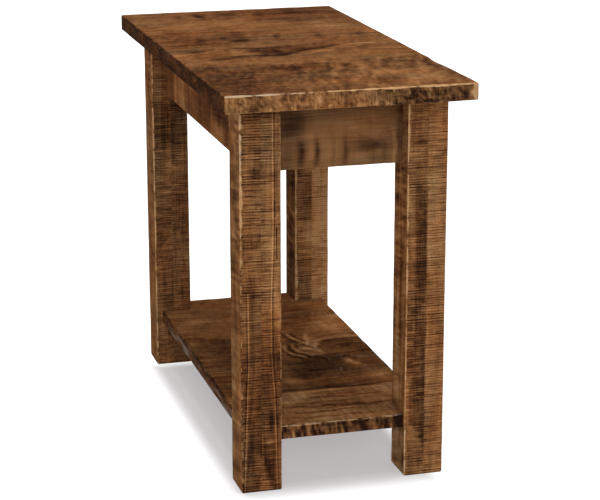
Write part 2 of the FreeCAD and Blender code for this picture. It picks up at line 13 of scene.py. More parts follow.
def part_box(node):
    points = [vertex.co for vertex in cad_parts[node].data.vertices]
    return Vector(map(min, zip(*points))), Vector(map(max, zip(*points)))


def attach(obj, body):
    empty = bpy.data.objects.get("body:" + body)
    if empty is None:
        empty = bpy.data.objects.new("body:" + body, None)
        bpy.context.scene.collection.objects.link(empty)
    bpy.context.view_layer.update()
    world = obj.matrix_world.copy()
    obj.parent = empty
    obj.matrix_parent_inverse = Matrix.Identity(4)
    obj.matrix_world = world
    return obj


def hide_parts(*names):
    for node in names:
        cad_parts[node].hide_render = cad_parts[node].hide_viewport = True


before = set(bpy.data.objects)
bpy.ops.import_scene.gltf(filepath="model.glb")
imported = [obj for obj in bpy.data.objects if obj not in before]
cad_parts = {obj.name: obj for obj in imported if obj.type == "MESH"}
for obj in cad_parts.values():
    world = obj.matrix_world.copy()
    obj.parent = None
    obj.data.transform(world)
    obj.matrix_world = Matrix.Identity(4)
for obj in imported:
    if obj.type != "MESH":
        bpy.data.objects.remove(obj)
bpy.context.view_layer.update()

# Places in millimetres from the middle of the table: X to the right, Y away from the camera, Z up
TOP_X, TOP_Y, TOP_LOW, TOP_HIGH = 193, 384, 596, 622
TOP_SEAMS = (-150, 15, 176)
LEG_IN_X, LEG_OUT_X = 97.5, 160.5
LEG_IN_Y, LEG_OUT_Y = 280, 343
APRON_OUT_X, APRON_OUT_Y, APRON_THICK, APRON_LOW = 133.5, 316, 21, 493
SHELF_X, SHELF_Y, SHELF_LOW, SHELF_HIGH = 148.5, 334, 77.5, 99.5
SHELF_SEAMS = (-189, 96)
# Millimetres between saw marks and between rings, of a seam, of a dent in from its arris, and off a
# face for a point that still counts as on it
KERF_PITCH, RING_WIDTH, SEAM_WIDTH, DENT_REACH, ON_FACE = 4.2, 5.5, 1.6, 3.6, 0.3
# How far the pith of a piece's tree lies to the side of the piece, and below or behind it
LEG_PITH, TOP_PITH, SHELF_PITH, APRON_PITH = (11, 95), (12, 75), (-15, 62), (530, 90)
SHARP_ANGLE = math.radians(48)
# What the materials read at each point. A line or crack is its distance in mm, the rest are shares. grey
# is a painted sheen.
FIELDS = ("stain", "kerf", "wear", "sawn", "grey", "line", "crack", "warmth")
FAR = 99.0
TINY = 1e-7
WHITE = (1, 1, 1, 1)


# Noise and soft shapes, worked out for many points at once

def hashed(cells, seed):
    """Numbers from 0 to 1 that only depend on the whole-number cell and the seed."""
    x, y, z = (cells[..., i].astype(np.int64) for i in range(3))
    mixed = (x * 73856093) ^ (y * 19349663) ^ (z * 83492791) ^ (seed * 2654435761)
    mixed = (mixed ^ (mixed >> 13)) * 1274126177
    mixed = mixed ^ (mixed >> 16)
    return (mixed & 0xFFFFFF) / float(0xFFFFFF)


def noise(size, seed, *coordinates):
    """Smooth noise from -1 to 1; size gives the length in mm of a swell along each coordinate."""
    count = len(coordinates[0])
    points = np.zeros((count, 3))
    for index, values in enumerate(coordinates):
        points[:, index] = values / size[index]
    cell = np.floor(points).astype(np.int64)
    part = points - cell
    part = part * part * (3 - 2 * part)
    total = np.zeros(count)
    for corner in itertools.product((0, 1), repeat=3):
        if any(corner[len(coordinates):]):
            continue
        step = np.array(corner)
        used = slice(0, len(coordinates))
        weight = np.prod(np.where(step[used] == 1, part[:, used], 1 - part[:, used]), axis=1)
        total += weight * hashed(cell + step, seed)
    return total * 2 - 1


def ease(value, start, end):
    """0 up to start, 1 from end on, smooth between; start may be the larger."""
    share = np.clip((value - start) / (end - start), 0, 1)
    return share * share * (3 - 2 * share)


def between(value, low, high, soft):
    """1 between low and high, with soft flanks."""
    return ease(value, low - soft, low + soft) * ease(value, high + soft, high - soft)


def stroke(a, b, path, width, squeeze=1):
    """A soft line through path, written as a, b, a, b and so on: 1 on it, fading over width. It fades
    more slowly along b where squeeze is below 1."""
    b = b * squeeze
    points = list(zip(path[::2], (place * squeeze for place in path[1::2])))
    nearest = np.full(len(a), 1e9)
    for (a0, b0), (a1, b1) in zip(points, points[1:]):
        run = (a1 - a0) ** 2 + (b1 - b0) ** 2
        share = np.clip(((a - a0) * (a1 - a0) + (b - b0) * (b1 - b0)) / run, 0, 1)
        away = np.hypot(a - a0 - share * (a1 - a0), b - b0 - share * (b1 - b0))
        nearest = np.minimum(nearest, away)
    return np.exp(-(nearest / width) ** 2)


class Look:
    """What is worked out for each point of a board: how far it is moved, and what its wood shows."""

    def __init__(self, points, seed):
        self.points = points
        self.x, self.y, self.z = points.T
        self.seed = seed
        self.moved = np.zeros_like(points)
        for field in FIELDS:
            setattr(self, field, np.full(len(points), FAR if field in ("line", "crack") else 0.0))
        self.grain = np.zeros_like(points)

    def near(self, face, reach=3):
        """1 on a face, given as (axis, place, outward sign), fading to 0 at reach inside it."""
        axis, place, _ = face
        return ease(np.abs(self.points[:, axis] - place), reach, ON_FACE)

    def push(self, face, depth, reach=3):
        """Moves a face's points inward by depth in mm."""
        axis, _, sign = face
        self.moved[:, axis] -= sign * np.maximum(depth, 0) * self.near(face, reach)

    def wear_arris(self, first, second, along, amount, deep, width=2.2, seed=0, spread=1):
        """Wears the arris between two faces: pale, uneven, with shallow dents. With a spread below 1
        the pale wood reaches further onto the second face."""
        first_away = np.abs(self.points[:, first[0]] - first[1])
        second_away = np.abs(self.points[:, second[0]] - second[1])
        away = np.hypot(first_away, second_away)
        run = self.points[:, along]
        key = self.seed * 7 + seed
        uneven = 0.82 + 0.34 * noise((55,), key, run) + 0.42 * noise((7,), key + 1, run)
        reach = width * (1 + 0.35 * noise((21,), key + 2, run))
        pale = np.hypot(first_away * spread, second_away)
        worn = np.clip(uneven, 0, 1.1) * np.exp(-(pale / reach) ** 2)
        self.wear = np.maximum(self.wear, amount * np.clip(worn * 1.3, 0, 1))
        dent = np.clip(noise((34,), key + 3, run), 0, 1) ** 1.3
        dent = dent + 0.25 * np.clip(noise((9,), key + 4, run), 0, 1)
        back = deep * dent * np.exp(-(away / DENT_REACH) ** 2)
        for axis, _, sign in (first, second):
            self.moved[:, axis] -= sign * back * 0.7

    def set_grain(self, axes, pith, knots=()):
        """Wood coordinates in mm: along the grain, across it, and through it, measured from the pith.
        knots are (along, across, radius) on the board's show face, and the grain flows round them."""
        along, across, through = (self.points[:, axis] for axis in axes)
        lean = noise((240,), self.seed + 50, along) * 14
        lift = noise((310,), self.seed + 51, along) * 16
        bent = across.copy()
        for place, side, radius in knots:
            gap = across - side
            inside = np.exp(-((along - place) / (2.6 * radius)) ** 2 - (gap / (1.7 * radius)) ** 2)
            bent = bent - 0.85 * gap * inside
        self.grain[:, 0] = along + self.seed * 613
        self.grain[:, 1] = bent - pith[0] + lean
        self.grain[:, 2] = through - pith[1] + lift


def tint(look, where, a, b, patches, field="stain"):
    """Raises a field in soft ellipses, or lowers it where the percentage is below 0. An ellipse is the
    two places of its middle, its two radii, the percentage there and, if it is turned, degrees."""
    for a_middle, b_middle, a_radius, b_radius, percent, *turn in patches:
        angle = math.radians(turn[0] if turn else 0)
        c, s = math.cos(angle), math.sin(angle)
        along = (a - a_middle) * c + (b - b_middle) * s
        across = (b - b_middle) * c - (a - a_middle) * s
        patch = np.exp(-(along / a_radius) ** 2 - (across / b_radius) ** 2)
        getattr(look, field)[:] += where * (percent / 100) * patch


def kerf_marks(across, along, seed):
    """Saw marks across a board: 0 to 1 in a groove, a little below 0 beside it."""
    bend = 0.5 * noise((23,), seed, across) + 1.6 * noise((70,), seed + 1, along)
    turn = (along + 0.004 * across + bend) / KERF_PITCH
    cell = np.floor(turn)
    marks = np.zeros(len(along))
    for step in (-1, 0, 1):
        number = np.zeros((len(along), 3))
        number[:, 0] = cell + step
        centre = cell + step + 0.5 + 0.3 * (hashed(number, seed + 2) - 0.5)
        strong = hashed(number, seed + 3) > 0.76
        deep = 0.4 + 0.26 * hashed(number, seed + 4) + 0.32 * strong
        runs = noise((15, 1), seed + 5, across, (cell + step) * 1.37)
        deep = deep * (0.3 + 0.7 * ease(runs, -0.8, 0.3 - 0.5 * strong))
        away = (turn - centre) / (0.16 + 0.04 * strong)
        marks = marks + deep * (1.4 * np.exp(-away ** 2) - 0.5 * np.exp(-(away / 2.2) ** 2))
    return np.clip(marks, -0.42, 1)


# Boards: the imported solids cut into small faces, then shaped

def steps(low, high, size, close):
    """Cutting places between low and high, in metres, with closer ones at both ends."""
    count = max(1, round((high - low) / size))
    places = [low + (high - low) * i / count for i in range(1, count)]
    rim = max(close, default=0.0)
    places = [p for p in places if low + rim * 1.2 < p < high - rim * 1.2]
    places += [low + c for c in close] + [high - c for c in close]
    return sorted(set(round(p, 6) for p in places))


def cut_fine(node, size, close):
    """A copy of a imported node's mesh, cut by planes across each axis into small faces."""
    low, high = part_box(node)
    mesh = bmesh.new()
    mesh.from_mesh(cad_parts[node].data)
    bmesh.ops.remove_doubles(mesh, verts=mesh.verts[:], dist=1e-6)
    bmesh.ops.dissolve_limit(mesh, angle_limit=math.radians(1), use_dissolve_boundaries=False,
                             verts=mesh.verts[:], edges=mesh.edges[:], delimit={"NORMAL"})

    def middle(part, axis):
        if isinstance(part, bmesh.types.BMVert):
            return part.co[axis]
        if isinstance(part, bmesh.types.BMEdge):
            return (part.verts[0].co[axis] + part.verts[1].co[axis]) / 2
        return part.calc_center_median()[axis]

    def halve(parts, axis, places):
        if not places:
            return
        index = len(places) // 2
        place, normal = [0, 0, 0], [0, 0, 0]
        place[axis], normal[axis] = places[index], 1
        cut = bmesh.ops.bisect_plane(mesh, geom=parts, dist=TINY, plane_co=place, plane_no=normal)
        if len(places) == 1:
            return
        low_side, high_side = [], []
        for part in dict.fromkeys(cut["geom"]):
            where = middle(part, axis)
            if where <= places[index] + TINY:
                low_side.append(part)
            if where >= places[index] - TINY:
                high_side.append(part)
        halve(low_side, axis, places[:index])
        halve(high_side, axis, places[index + 1:])

    places = [steps(low[axis], high[axis], size[axis] / 1000, [c / 1000 for c in close[axis]])
              for axis in range(3)]
    for axis in sorted(range(3), key=lambda axis: -len(places[axis])):
        halve(mesh.verts[:] + mesh.edges[:] + mesh.faces[:], axis, places[axis])
    made = bpy.data.meshes.new(node + "_fine")
    mesh.to_mesh(made)
    mesh.free()
    return made


def corners_of(mesh):
    """A mesh's points in millimetres."""
    flat = np.zeros(len(mesh.vertices) * 3)
    mesh.vertices.foreach_get("co", flat)
    return flat.reshape(-1, 3) * 1000


def write_attribute(mesh, name, values):
    """Keeps a number or a vector for each point, which the materials read by name."""
    kind, field = ("FLOAT", "value") if values.ndim == 1 else ("FLOAT_VECTOR", "vector")
    attribute = mesh.attributes.new(name, kind, "POINT")
    attribute.data.foreach_set(field, np.ascontiguousarray(values, np.float32).ravel())


def add_object(name, data):
    made = bpy.data.objects.new(name, data)
    bpy.context.scene.collection.objects.link(made)
    return made


def add_board(node, mesh, look, slot):
    """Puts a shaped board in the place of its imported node."""
    shaped = (look.points + look.moved) / 1000
    mesh.vertices.foreach_set("co", shaped.ravel())
    for name in ("grain",) + FIELDS:
        write_attribute(mesh, name, getattr(look, name))
    mesh.update()
    mesh.shade_smooth()
    mesh.set_sharp_from_angle(angle=SHARP_ANGLE)
    mesh.materials.clear()
    mesh.materials.append(woods[slot])
    board = add_object(node + "_board", mesh)
    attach(board, "root")
    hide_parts(node)


# Materials

class Graph:
    """Builds the nodes of a material or a world. Each call adds a node and returns the output that the
    next one reads."""

    def __init__(self, name, kind="materials"):
        self.owner = getattr(bpy.data, kind).new(name)
        self.owner.use_nodes = True
        self.tree = self.owner.node_tree

    def feed(self, socket, value):
        if isinstance(value, bpy.types.NodeSocket):
            self.tree.links.new(value, socket)
        else:
            socket.default_value = value

    def make(self, kind, inputs, output=0, **settings):
        """A new node; its inputs are given in order, or by name."""
        node = self.tree.nodes.new("ShaderNode" + kind)
        for setting, value in settings.items():
            setattr(node, setting, value)
        for key, value in inputs.items() if isinstance(inputs, dict) else enumerate(inputs):
            self.feed(node.inputs[key], value)
        return node.outputs[output]

    def attribute(self, name, output="Fac"):
        return self.make("Attribute", (), output, attribute_name=name)

    def math(self, operation, first, second=0, third=0, clamp=False):
        return self.make("Math", (first, second, third), operation=operation, use_clamp=clamp)

    plus = partialmethod(math, "ADD")
    minus = partialmethod(math, "SUBTRACT")
    times = partialmethod(math, "MULTIPLY")
    scaled = partialmethod(math, "MULTIPLY_ADD")
    positive = partialmethod(math, "ABSOLUTE")
    greater = partialmethod(math, "MAXIMUM")

    def vector(self, operation, first, second):
        return self.make("VectorMath", (first, second), operation=operation)

    def place(self):
        """The place on the object, in mm."""
        return self.vector("MULTIPLY", self.make("TexCoord", (), "Object"), (1000, 1000, 1000))

    def parts(self, vector):
        return self.make("SeparateXYZ", (vector,), slice(0, 3))

    def noise(self, vector, size, detail=2, rough=0.5, bend=0, shift=(0, 0, 0)):
        """Noise from 0 to 1; size is the length in mm of a swell along, across and through the grain."""
        scaled = self.vector("MULTIPLY", self.vector("ADD", vector, shift), tuple(1 / s for s in size))
        return self.make("TexNoise", {"Vector": scaled, "Scale": 1, "Detail": detail,
                                      "Roughness": rough, "Distortion": bend}, "Fac")

    def range(self, value, low, high, new_low=0, new_high=1, smooth=True):
        return self.make("MapRange", (value, low, high, new_low, new_high),
                         interpolation_type="SMOOTHSTEP" if smooth else "LINEAR")

    def ramp(self, value, stops):
        colour = self.make("ValToRGB", (value,))
        band = colour.node.color_ramp
        while len(band.elements) < len(stops):
            band.elements.new(1)
        for element, (position, shade) in zip(band.elements, stops):
            element.position = position
            element.color = (*shade, 1)
        return colour

    def mix(self, share, first, second, way="MIX"):
        first, second = ((*value, 1) if isinstance(value, tuple) else value for value in (first, second))
        return self.make("Mix", {0: share, 6: first, 7: second}, 2, data_type="RGBA", blend_type=way)

    def bump(self, height, distance, strength=1):
        return self.make("Bump", {"Strength": strength, "Distance": distance, "Height": height})

    def coat(self, inputs):
        """Feeds the material's own shader and returns the material."""
        for name, value in inputs.items():
            self.feed(self.tree.nodes["Principled BSDF"].inputs[name], value)
        return self.owner

    def by_ray(self, plain, seen, end):
        """Shows seen to camera, glossy and transmission rays, and plain to the rest."""
        rays = self.tree.nodes.new("ShaderNodeLightPath").outputs
        share = rays["Is Camera Ray"]
        for other in ("Is Glossy Ray", "Is Transmission Ray"):
            share = self.greater(share, rays[other])
        blend = self.make("MixShader", (share, plain, seen))
        self.feed(self.tree.nodes[end].inputs["Surface"], blend)


STAINED = (
    (0, (0.42, 0.232, 0.105)),
    (0.2, (0.285, 0.143, 0.058)),
    (0.38, (0.2, 0.094, 0.037)),
    (0.52, (0.14, 0.062, 0.0242)),
    (0.68, (0.085, 0.0365, 0.0148)),
    (0.84, (0.046, 0.0195, 0.0088)),
    (1, (0.018, 0.0078, 0.0042)),
)
WORN = (0.52, 0.315, 0.155)


def stained_wood(name, tone, hue, rings, streaks, blotches, long_grain, scratch, pits, gloss):
    """Rough-sawn wood under a brown stain. tone shifts it darker and hue tints it; the others set how
    much each mark shows."""
    g = Graph(name)
    grain = g.attribute("grain", "Vector")
    stain, kerf, wear, sawn, grey, line, crack, warmth = (g.attribute(field) for field in FIELDS)

    def centred(value, share):
        return g.times(g.minus(value, 0.5), share)

    wander = g.noise(grain, (150, 40, 40))
    _, across, through = g.parts(grain)
    from_pith = g.math("SQRT", g.plus(g.times(across, across), g.times(through, through)))
    ring = g.math("FRACT", g.scaled(from_pith, 1 / RING_WIDTH, g.times(wander, 3.2)))
    late = g.math("POWER", ring, 3)
    ring_show = g.range(g.noise(grain, (90, 30, 30), 1, shift=(40, 7, 3)), 0.35, 0.7)
    fibre = g.noise(grain, (55, 1, 1), 3, 0.6)
    cord = g.noise(grain, (110, 3.2, 3.2), 3, 0.6, 0.3, (17, 5, 2))
    vein = g.noise(grain, (130, 8, 8), 2, 0.55, 0.5, (27, 15, 52))
    thread = g.math("POWER", g.minus(1, g.positive(centred(vein, 2))), 16)
    streak = g.noise(grain, (190, 13, 13), 2, 0.5, 0.6, (71, 9, 4))
    blotch = g.noise(grain, (60, 34, 34), 3, 0.55, 0.5, (5, 61, 3))
    curl = g.noise(grain, (7, 38, 38), 2, 0.5, 0.8, (33, 2, 81))
    scratches = g.noise(grain, (1.9, 24, 24), 3, 0.65, 0, (3, 11, 7))
    band = g.noise(grain, (5.5, 60, 60), shift=(9, 31, 5))
    pit = g.range(g.noise(grain, (5, 1.3, 1.3), 1, 0.5, 0, (2, 3, 1)), 0.66, 0.76)
    speck = g.range(g.noise(grain, (3.2, 3.6, 3.6), 3, 0.62, 0.4, (61, 23, 9)), 0.52, 0.66)

    dark = g.scaled(stain, g.scaled(cord, 1.2, 0.4), 0.5 + tone)
    long_show = g.scaled(sawn, -0.65, 1)
    long_marks = g.plus(centred(fibre, 0.45 * long_grain), centred(cord, 0.65 * long_grain))
    long_marks = g.scaled(thread, 0.16 * long_grain, long_marks)
    dark = g.scaled(long_marks, long_show, dark)
    for share, mark in ((streaks, streak), (blotches, blotch), (0.14, curl)):
        dark = g.plus(dark, centred(mark, share))
    dark = g.scaled(g.times(late, ring_show), rings, dark)
    rough_marks = g.plus(centred(scratches, scratch), centred(band, scratch * 0.6))
    rough_marks = g.scaled(speck, pits, rough_marks)
    dark = g.scaled(rough_marks, sawn, dark)
    dark = g.scaled(pit, 0.16, dark)
    dark = g.scaled(g.range(g.positive(line), 1.5, 0.3), -0.29, dark)
    beside = g.positive(g.minus(line, 2.4))
    dark = g.scaled(g.range(beside, 1.6, 0.4), 0.25, dark)
    dark = g.scaled(g.range(g.positive(crack), 1.3, 0.4), 0.5, dark)
    dark = g.scaled(kerf, 0.78, dark, clamp=True)
    colour = g.ramp(dark, STAINED)
    warm = g.range(g.noise(grain, (140, 45, 45), 2, 0.5, 0.4, (91, 13, 8)), 0.2, 0.8)
    warm = g.plus(warm, warmth, clamp=True)
    cooler = tuple(part * change for part, change in zip(hue, (0.9, 1.04, 1.14)))
    warmer = tuple(part * change for part, change in zip(hue, (1.09, 0.96, 0.85)))
    colour = g.mix(warm, g.mix(1, colour, cooler, "MULTIPLY"), g.mix(1, colour, warmer, "MULTIPLY"))
    chip = g.noise(grain, (6, 2.2, 2.2), 3, 0.6, 0, (12, 8, 44))
    bare = g.range(g.plus(wear, centred(chip, 1.7)), 0.36, 0.78)
    bare_tone = g.mix(g.range(chip, 0.35, 0.7), WORN, (0.3, 0.155, 0.065))
    # Where grey is set, the worn wood and then the rest turn greyish: a painted sheen and glints.
    colour = g.mix(bare, colour, g.mix(grey, bare_tone, (0.44, 0.36, 0.285)))
    painted_sheen = g.range(g.plus(grey, centred(cord, 1)), 0.35, 0.85, 0, 0.8)
    painted_sheen = g.times(painted_sheen, g.minus(1, bare))
    colour = g.mix(painted_sheen, colour, g.mix(fibre, (0.09, 0.064, 0.047), (0.245, 0.195, 0.15)))
    dull = g.scaled(kerf, 0.35, cord)
    height = g.scaled(g.times(scratches, sawn), 0.9, g.scaled(cord, 0.5, fibre))
    height = g.minus(height, g.times(pit, 0.8))
    height = g.minus(height, g.times(g.times(speck, sawn), pits * 2))
    return g.coat({
        "Base Color": colour, "Normal": g.bump(height, 0.0004, 0.7), "Specular IOR Level": 0.0005,
        "Roughness": g.range(dull, 0.25, 0.95, gloss, gloss + 0.22, False),
    })


def plain_wood(name, axis):
    """Unstained wood for the blocks and buttons under the top; axis is the way the grain runs."""
    g = Graph(name)
    size = [2.5, 2.5, 2.5]
    size[axis] = 60
    place = g.place()
    fibre = g.noise(place, size, 4, 0.6, 0.2)
    wide = g.noise(place, [length * 5 for length in size], 2, 0.5, 0.6, (7, 3, 5))
    shade = g.scaled(wide, 0.5, g.times(fibre, 0.5))
    colour = g.ramp(shade, ((0.25, (0.52, 0.35, 0.19)), (0.5, (0.43, 0.27, 0.135)),
                            (0.75, (0.3, 0.17, 0.078))))
    return g.coat({"Base Color": colour, "Roughness": g.range(fibre, 0.3, 0.8, 0.55, 0.75),
                   "Specular IOR Level": 0.25, "Normal": g.bump(fibre, 0.0003, 0.6)})


def zinc_steel(name):
    """Dull plated steel with fine scratches and clouding."""
    g = Graph(name)
    place = g.place()
    cloud = g.noise(place, (3.5, 3.5, 3.5), 3, 0.6)
    scratch = g.noise(place, (0.25, 4, 4), 2, 0.6)
    colour = g.ramp(cloud, ((0.3, (0.42, 0.41, 0.38)), (0.7, (0.62, 0.61, 0.58))))
    return g.coat({"Base Color": colour, "Metallic": 1, "Normal": g.bump(scratch, 0.00005, 0.5),
                   "Roughness": g.range(scratch, 0.3, 0.7, 0.3, 0.48)})


WOODS = {
    "top_wood": (-0.065, (1.06, 0.98, 0.92), 0.16, 0.28, 0.3, 0.92, 0.78, 0.2, 0.47),
    "shelf_wood": (-0.11, (1.08, 0.98, 0.93), 0.2, 0.34, 0.54, 0.9, 0.6, 0.1, 0.46),
    "leg_wood": (-0.07, (1.01, 1, 1), 0.16, 0.36, 0.46, 1.05, 0.9, 0.14, 0.55),
    "apron_wood": (-0.06, (1, 1, 1.03), 0.08, 0.14, 0.26, 0.36, 0.4, 0, 0.5),
}
woods = {name: stained_wood(name, *values) for name, values in WOODS.items()}


# Legs: two boards each, with saw marks across the faces toward the front and the back

LEG_SIZE = (5.2, 5.2, 1.05)
LONG_MARKS = ((533, -112), (528, -126), (493, -104), (483, -122), (473, -118), (464, -128), (451, -124),
              (441, -112), (431, -136), (421, -104), (405, -108), (396, -124), (386, -132), (351, -110))
LEG_CLOSE = ((0.9, 2.6, 5), (0.9, 2.6, 5), ())
leg_meshes = {part: cut_fine("leg_back_right_" + part, LEG_SIZE, LEG_CLOSE)
              for part in ("inner", "outer")}


def front_left_marks(look, front, left):
    x, y, z = look.x, look.y, look.z
    # The patch at (-134, 584) is a painted shadow under the top's overhang.
    tint(look, front, x, z, (
        (-134, 584, 30, 8, 18), (-133, 515, 30, 28, -5), (-136, 500, 8, 9, 24), (-145, 468, 6, 16, 14),
        (-134, 532, 24, 5, 16), (-130, 520, 4, 16, 12), (-143, 430, 6, 10, 12), (-147, 405, 5, 20, 10),
        (-146, 372, 4, 5, 24), (-143, 335, 3.5, 6, 22), (-131, 333, 3, 5, 12), (-141, 290, 5, 12, 14),
        (-137, 313, 9, 5, 46), (-153, 317, 3, 3, 30), (-153, 347, 3.2, 20, -40), (-102, 208, 4.5, 22, 26),
        (-116, 78, 9, 2.4, -32), (-122, 73, 12, 1.6, 26), (-112, 112, 2.4, 14, 26),
        (-110, 52, 2.2, 14, 20), (-146, 75, 2.6, 60, 16), (-120, 10, 10, 10, -14),
    ))
    look.stain += front * (0.2 * ease(z, 265, 190) - 0.05 * between(z, 330, 480, 40))
    for low_x, high_x, low_z, high_z, depth in (
        (-149, -130, 232, 304, 0.09), (-127, -110, 232, 304, -0.05), (-127, -110, 148, 232, 0.04),
        (-151, -134, -9, 86, 0.09), (-133, -117, -9, 42, 0.06), (-123, -111, 40, 86, -0.1),
        (-159, -152, 10, 145, -0.16), (-159, -152, 195, 305, -0.13), (-109, -98, 10, 145, -0.14),
        (-157, -129, 322, 400, 0.05), (-157, -129, 400, 482, -0.09), (-129, -111, 320, 482, -0.07),
    ):
        look.stain += front * depth * between(x, low_x, high_x, 1.5) * between(z, low_z, high_z, 7)
    look.warmth += 0.3 * front * ease(z, 316, 290)
    edge = x - np.interp(z, (0, 62), (-112, -131))
    look.stain -= front * 0.17 * ease(edge, 4, -5) * ease(x, -150, -141) * ease(z, 70, 50)
    look.stain += front * 0.24 * ease(edge, -3, 5) * ease(z, 84, 62) * ease(x, -105, -109)
    line_z = (0, 100, 150, 220, 300, 420, 596)
    from_right = x - np.interp(z, line_z, (-105, -107, -108.5, -113, -113, -110, -110))
    from_left = x - np.interp(z, (0, 60, 140, 200, 318), (-156, -154, -151, -148.5, -149))
    both = from_right * from_left / np.maximum(from_left - from_right, 1)
    fainter = np.copysign(np.hypot(from_right, 0.75 * ease(z, 318, 440)), from_right)
    look.line = np.where(z < 318, both, fainter)
    split = (front > 0.5) & (x > -129)
    look.crack = np.where(split & (z > 430) & (z < 456), x + 107, look.crack)
    look.crack = np.where(split & (z > 365) & (z < 416), x + 104.6, look.crack)
    deeper = 0.72 * ease(x, -110, -116) * ease(z, 505, 545) - 0.45 * ease(x, -114, -110)
    look.kerf *= 1 + front * (deeper - 0.35 * between(z, 385, 480, 8))
    for height, reach in LONG_MARKS:
        away = (z - height + 0.04 * (x + 155)) / (0.62 + 0.25 * noise((9,), 981, x + 7 * height))
        show = 0.62 + 0.3 * noise((11,), 982, x + 13 * height)
        look.kerf += front * show * np.exp(-away ** 2) * ease(x, reach + 8, reach - 8)
    look.stain -= left * 0.04
    tint(look, left, y, z, (
        (-330, 572, 30, 4, 18), (-330, 560, 30, 2.6, 24), (-312, 548, 30, 5, -14), (-315, 430, 24, 6, 14),
        (-305, 389, 36, 3.6, 26), (-320, 397, 26, 3, -18), (-340, 400, 5, 40, -10),
        (-303, 345, 14, 28, 14), (-296, 470, 5, 34, -10),
    ))
    rim = front * ease(x, -150, -156)
    look.wear *= 1 - rim * (0.5 * ease(z, 450, 340) + 0.12 * (1 + noise((6,), 985, z)))
    look.stain += rim * 0.1
    # A painted grey sheen on the arris, high up.
    look.grey += 0.35 * rim * ease(z, 470, 540) * ease(noise((11,), 984, z), -0.1, 0.5)


def front_right_marks(look, front, left):
    x, y, z = look.x, look.y, look.z
    edge_z = (0, 50, 90, 190, 215, 330, 360, 446, 470)
    from_x = np.interp(z, edge_z, (131, 126, 107, 106, 111, 110, 112, 113, 122))
    band = ease(x, from_x - 3, from_x + 4) * ease(x, 131, 128.6) * ease(z, 18, 60) * ease(z, 466, 436)
    mottle = noise((9, 7), 971, x, z) + 0.8 * noise((16, 26), 972, x, z)
    deep = 0.27 - 0.05 * ease(z, 330, 360) - 0.06 * ease(z, 90, 60) + 0.11 * mottle
    look.stain += front * band * deep
    flecks = noise((5, 6), 973, x, z) * between(x, 99, 113, 2) * between(z, 60, 470, 20)
    look.stain += front * 0.16 * flecks
    tint(look, front, x, z, (
        (113, 558, 16, 26, 12), (121, 530, 6, 3.4, 34), (116, 460, 6, 3.2, 36), (114, 414, 4, 9, 16),
        (119, 421, 4, 4, -20), (127, 70, 6, 14, 8), (110, 76, 9, 34, 6), (146, 265, 8, 26, 12),
        (105, 365, 5, 16, -10), (122, 35, 8, 12, 12), (108, 80, 6, 40, -8),
    ))
    paler = 0.13 + 0.04 * between(z, 340, 480, 20) - 0.06 * ease(z, 260, 180) + 0.04 * ease(z, 90, 60)
    look.stain -= front * (ease(x, 127, 131) * paler + 0.05 * ease(z, 70, 20))
    tint(look, left, y, z, (
        (-302, 470, 3, 60, 12), (-315, 300, 7, 150, 14), (-318, 486, 4, 7, 26), (-296, 215, 9, 80, -20),
        (-306, 300, 3, 150, -14), (-336, 78, 2.4, 46, 30), (-300, 130, 16, 20, -10),
        (-318, 290, 14, 5, 16), (-335, 24, 7, 13, 50), (-319, 42, 5, 28, 20), (-304, 46, 6, 20, -12),
        (-330, 56, 5, 7, -12), (-300, 180, 5, 60, -12), (-313, 255, 3, 40, 14), (-328, 430, 4, 40, 12),
    ))
    foot = left * ease(z, 84, 74)
    combed = noise((2.8, 40), 978, z + 0.38 * y, y) + 0.5 * noise((5, 30), 979, z + 0.38 * y, y)
    streaked = noise((5, 60), 974, y, z) + 0.6 * noise((9, 12), 976, y, z)
    look.stain += left * (0.1 * streaked + 0.11 * combed - 0.03 - 0.15 * ease(z, 235, 185)) - 0.08 * foot
    look.warmth -= 0.6 * foot
    look.grey += foot * (0.18 + 0.26 * noise((9, 14), 977, y, z))


def back_left_marks(look, front, left):
    x, z = look.x, look.z
    # The face is darker all over, and the band from 402 to 484 is a painted shadow of the top.
    look.stain += front * (0.09 + 0.17 * between(z, 402, 484, 10) * ease(x, -100, -108))
    look.stain += front * between(z, 296, 392, 8) * (0.07 * ease(x, -131, -127) - 0.03)
    look.kerf *= 1 - 0.3 * front * ease(z, 490, 470)
    tint(look, front, x, z, (
        (-140, 425, 10, 24, 12), (-141, 293, 3.2, 28, -28), (-132, 366, 12, 12, -16),
        (-112, 286, 14, 50, 8), (-118, 243, 3, 2.5, -40), (-140, 320, 18, 3, -18),
        (-143, 515, 14, 24, -12), (-150, 335, 10, 8, 12), (-138, 445, 9, 36, 10), (-145, 162, 3, 26, 24),
        (-112, 142, 3, 20, 26), (-135, 150, 3, 26, -16), (-106, 170, 3, 24, -12), (-128, 150, 26, 34, 5),
    ))


def back_right_marks(look, front, left):
    x, y, z = look.x, look.y, look.z
    inner, outer = between(x, 100, 129, 1.6), ease(x, 127, 131)
    look.stain += front * inner * (0.24 * between(z, 248, 346, 6) + 0.24 * between(z, 60, 178, 2)
                                   + 0.12 * between(z, 178, 207, 3))
    look.stain -= front * (0.25 + outer * (0.11 + 0.06 * ease(z, 205, 211)))
    look.warmth += front * outer * 0.15
    tint(look, front, x, z, (
        (104, 341, 6, 5, 24), (122, 342, 5, 4, -16), (155, 270, 6, 40, -12),
    ))
    look.stain += left * 0.2
    for height in (256, 229, 199):
        look.stain -= left * 0.3 * np.exp(-((z - 0.29 * (y - 280) - height) / 3.2) ** 2)


# A worn arris: how pale it is, how wide, and its spread onto the second face
ARRIS = (0.72, 1.7, 1)
# Each leg's marks, seed, warmth and front left arris
LEGS = {
    "front_left": (front_left_marks, 11, 0, (1.2, 1.8, 0.48)),
    "front_right": (front_right_marks, 23, 0.2, (0.92, 1.8, 0.72)),
    "back_left": (back_left_marks, 37, -0.05, (0.85, 1.7, 0.75)),
    "back_right": (back_right_marks, 53, 0.06, (1.15, 2, 0.45)),
}


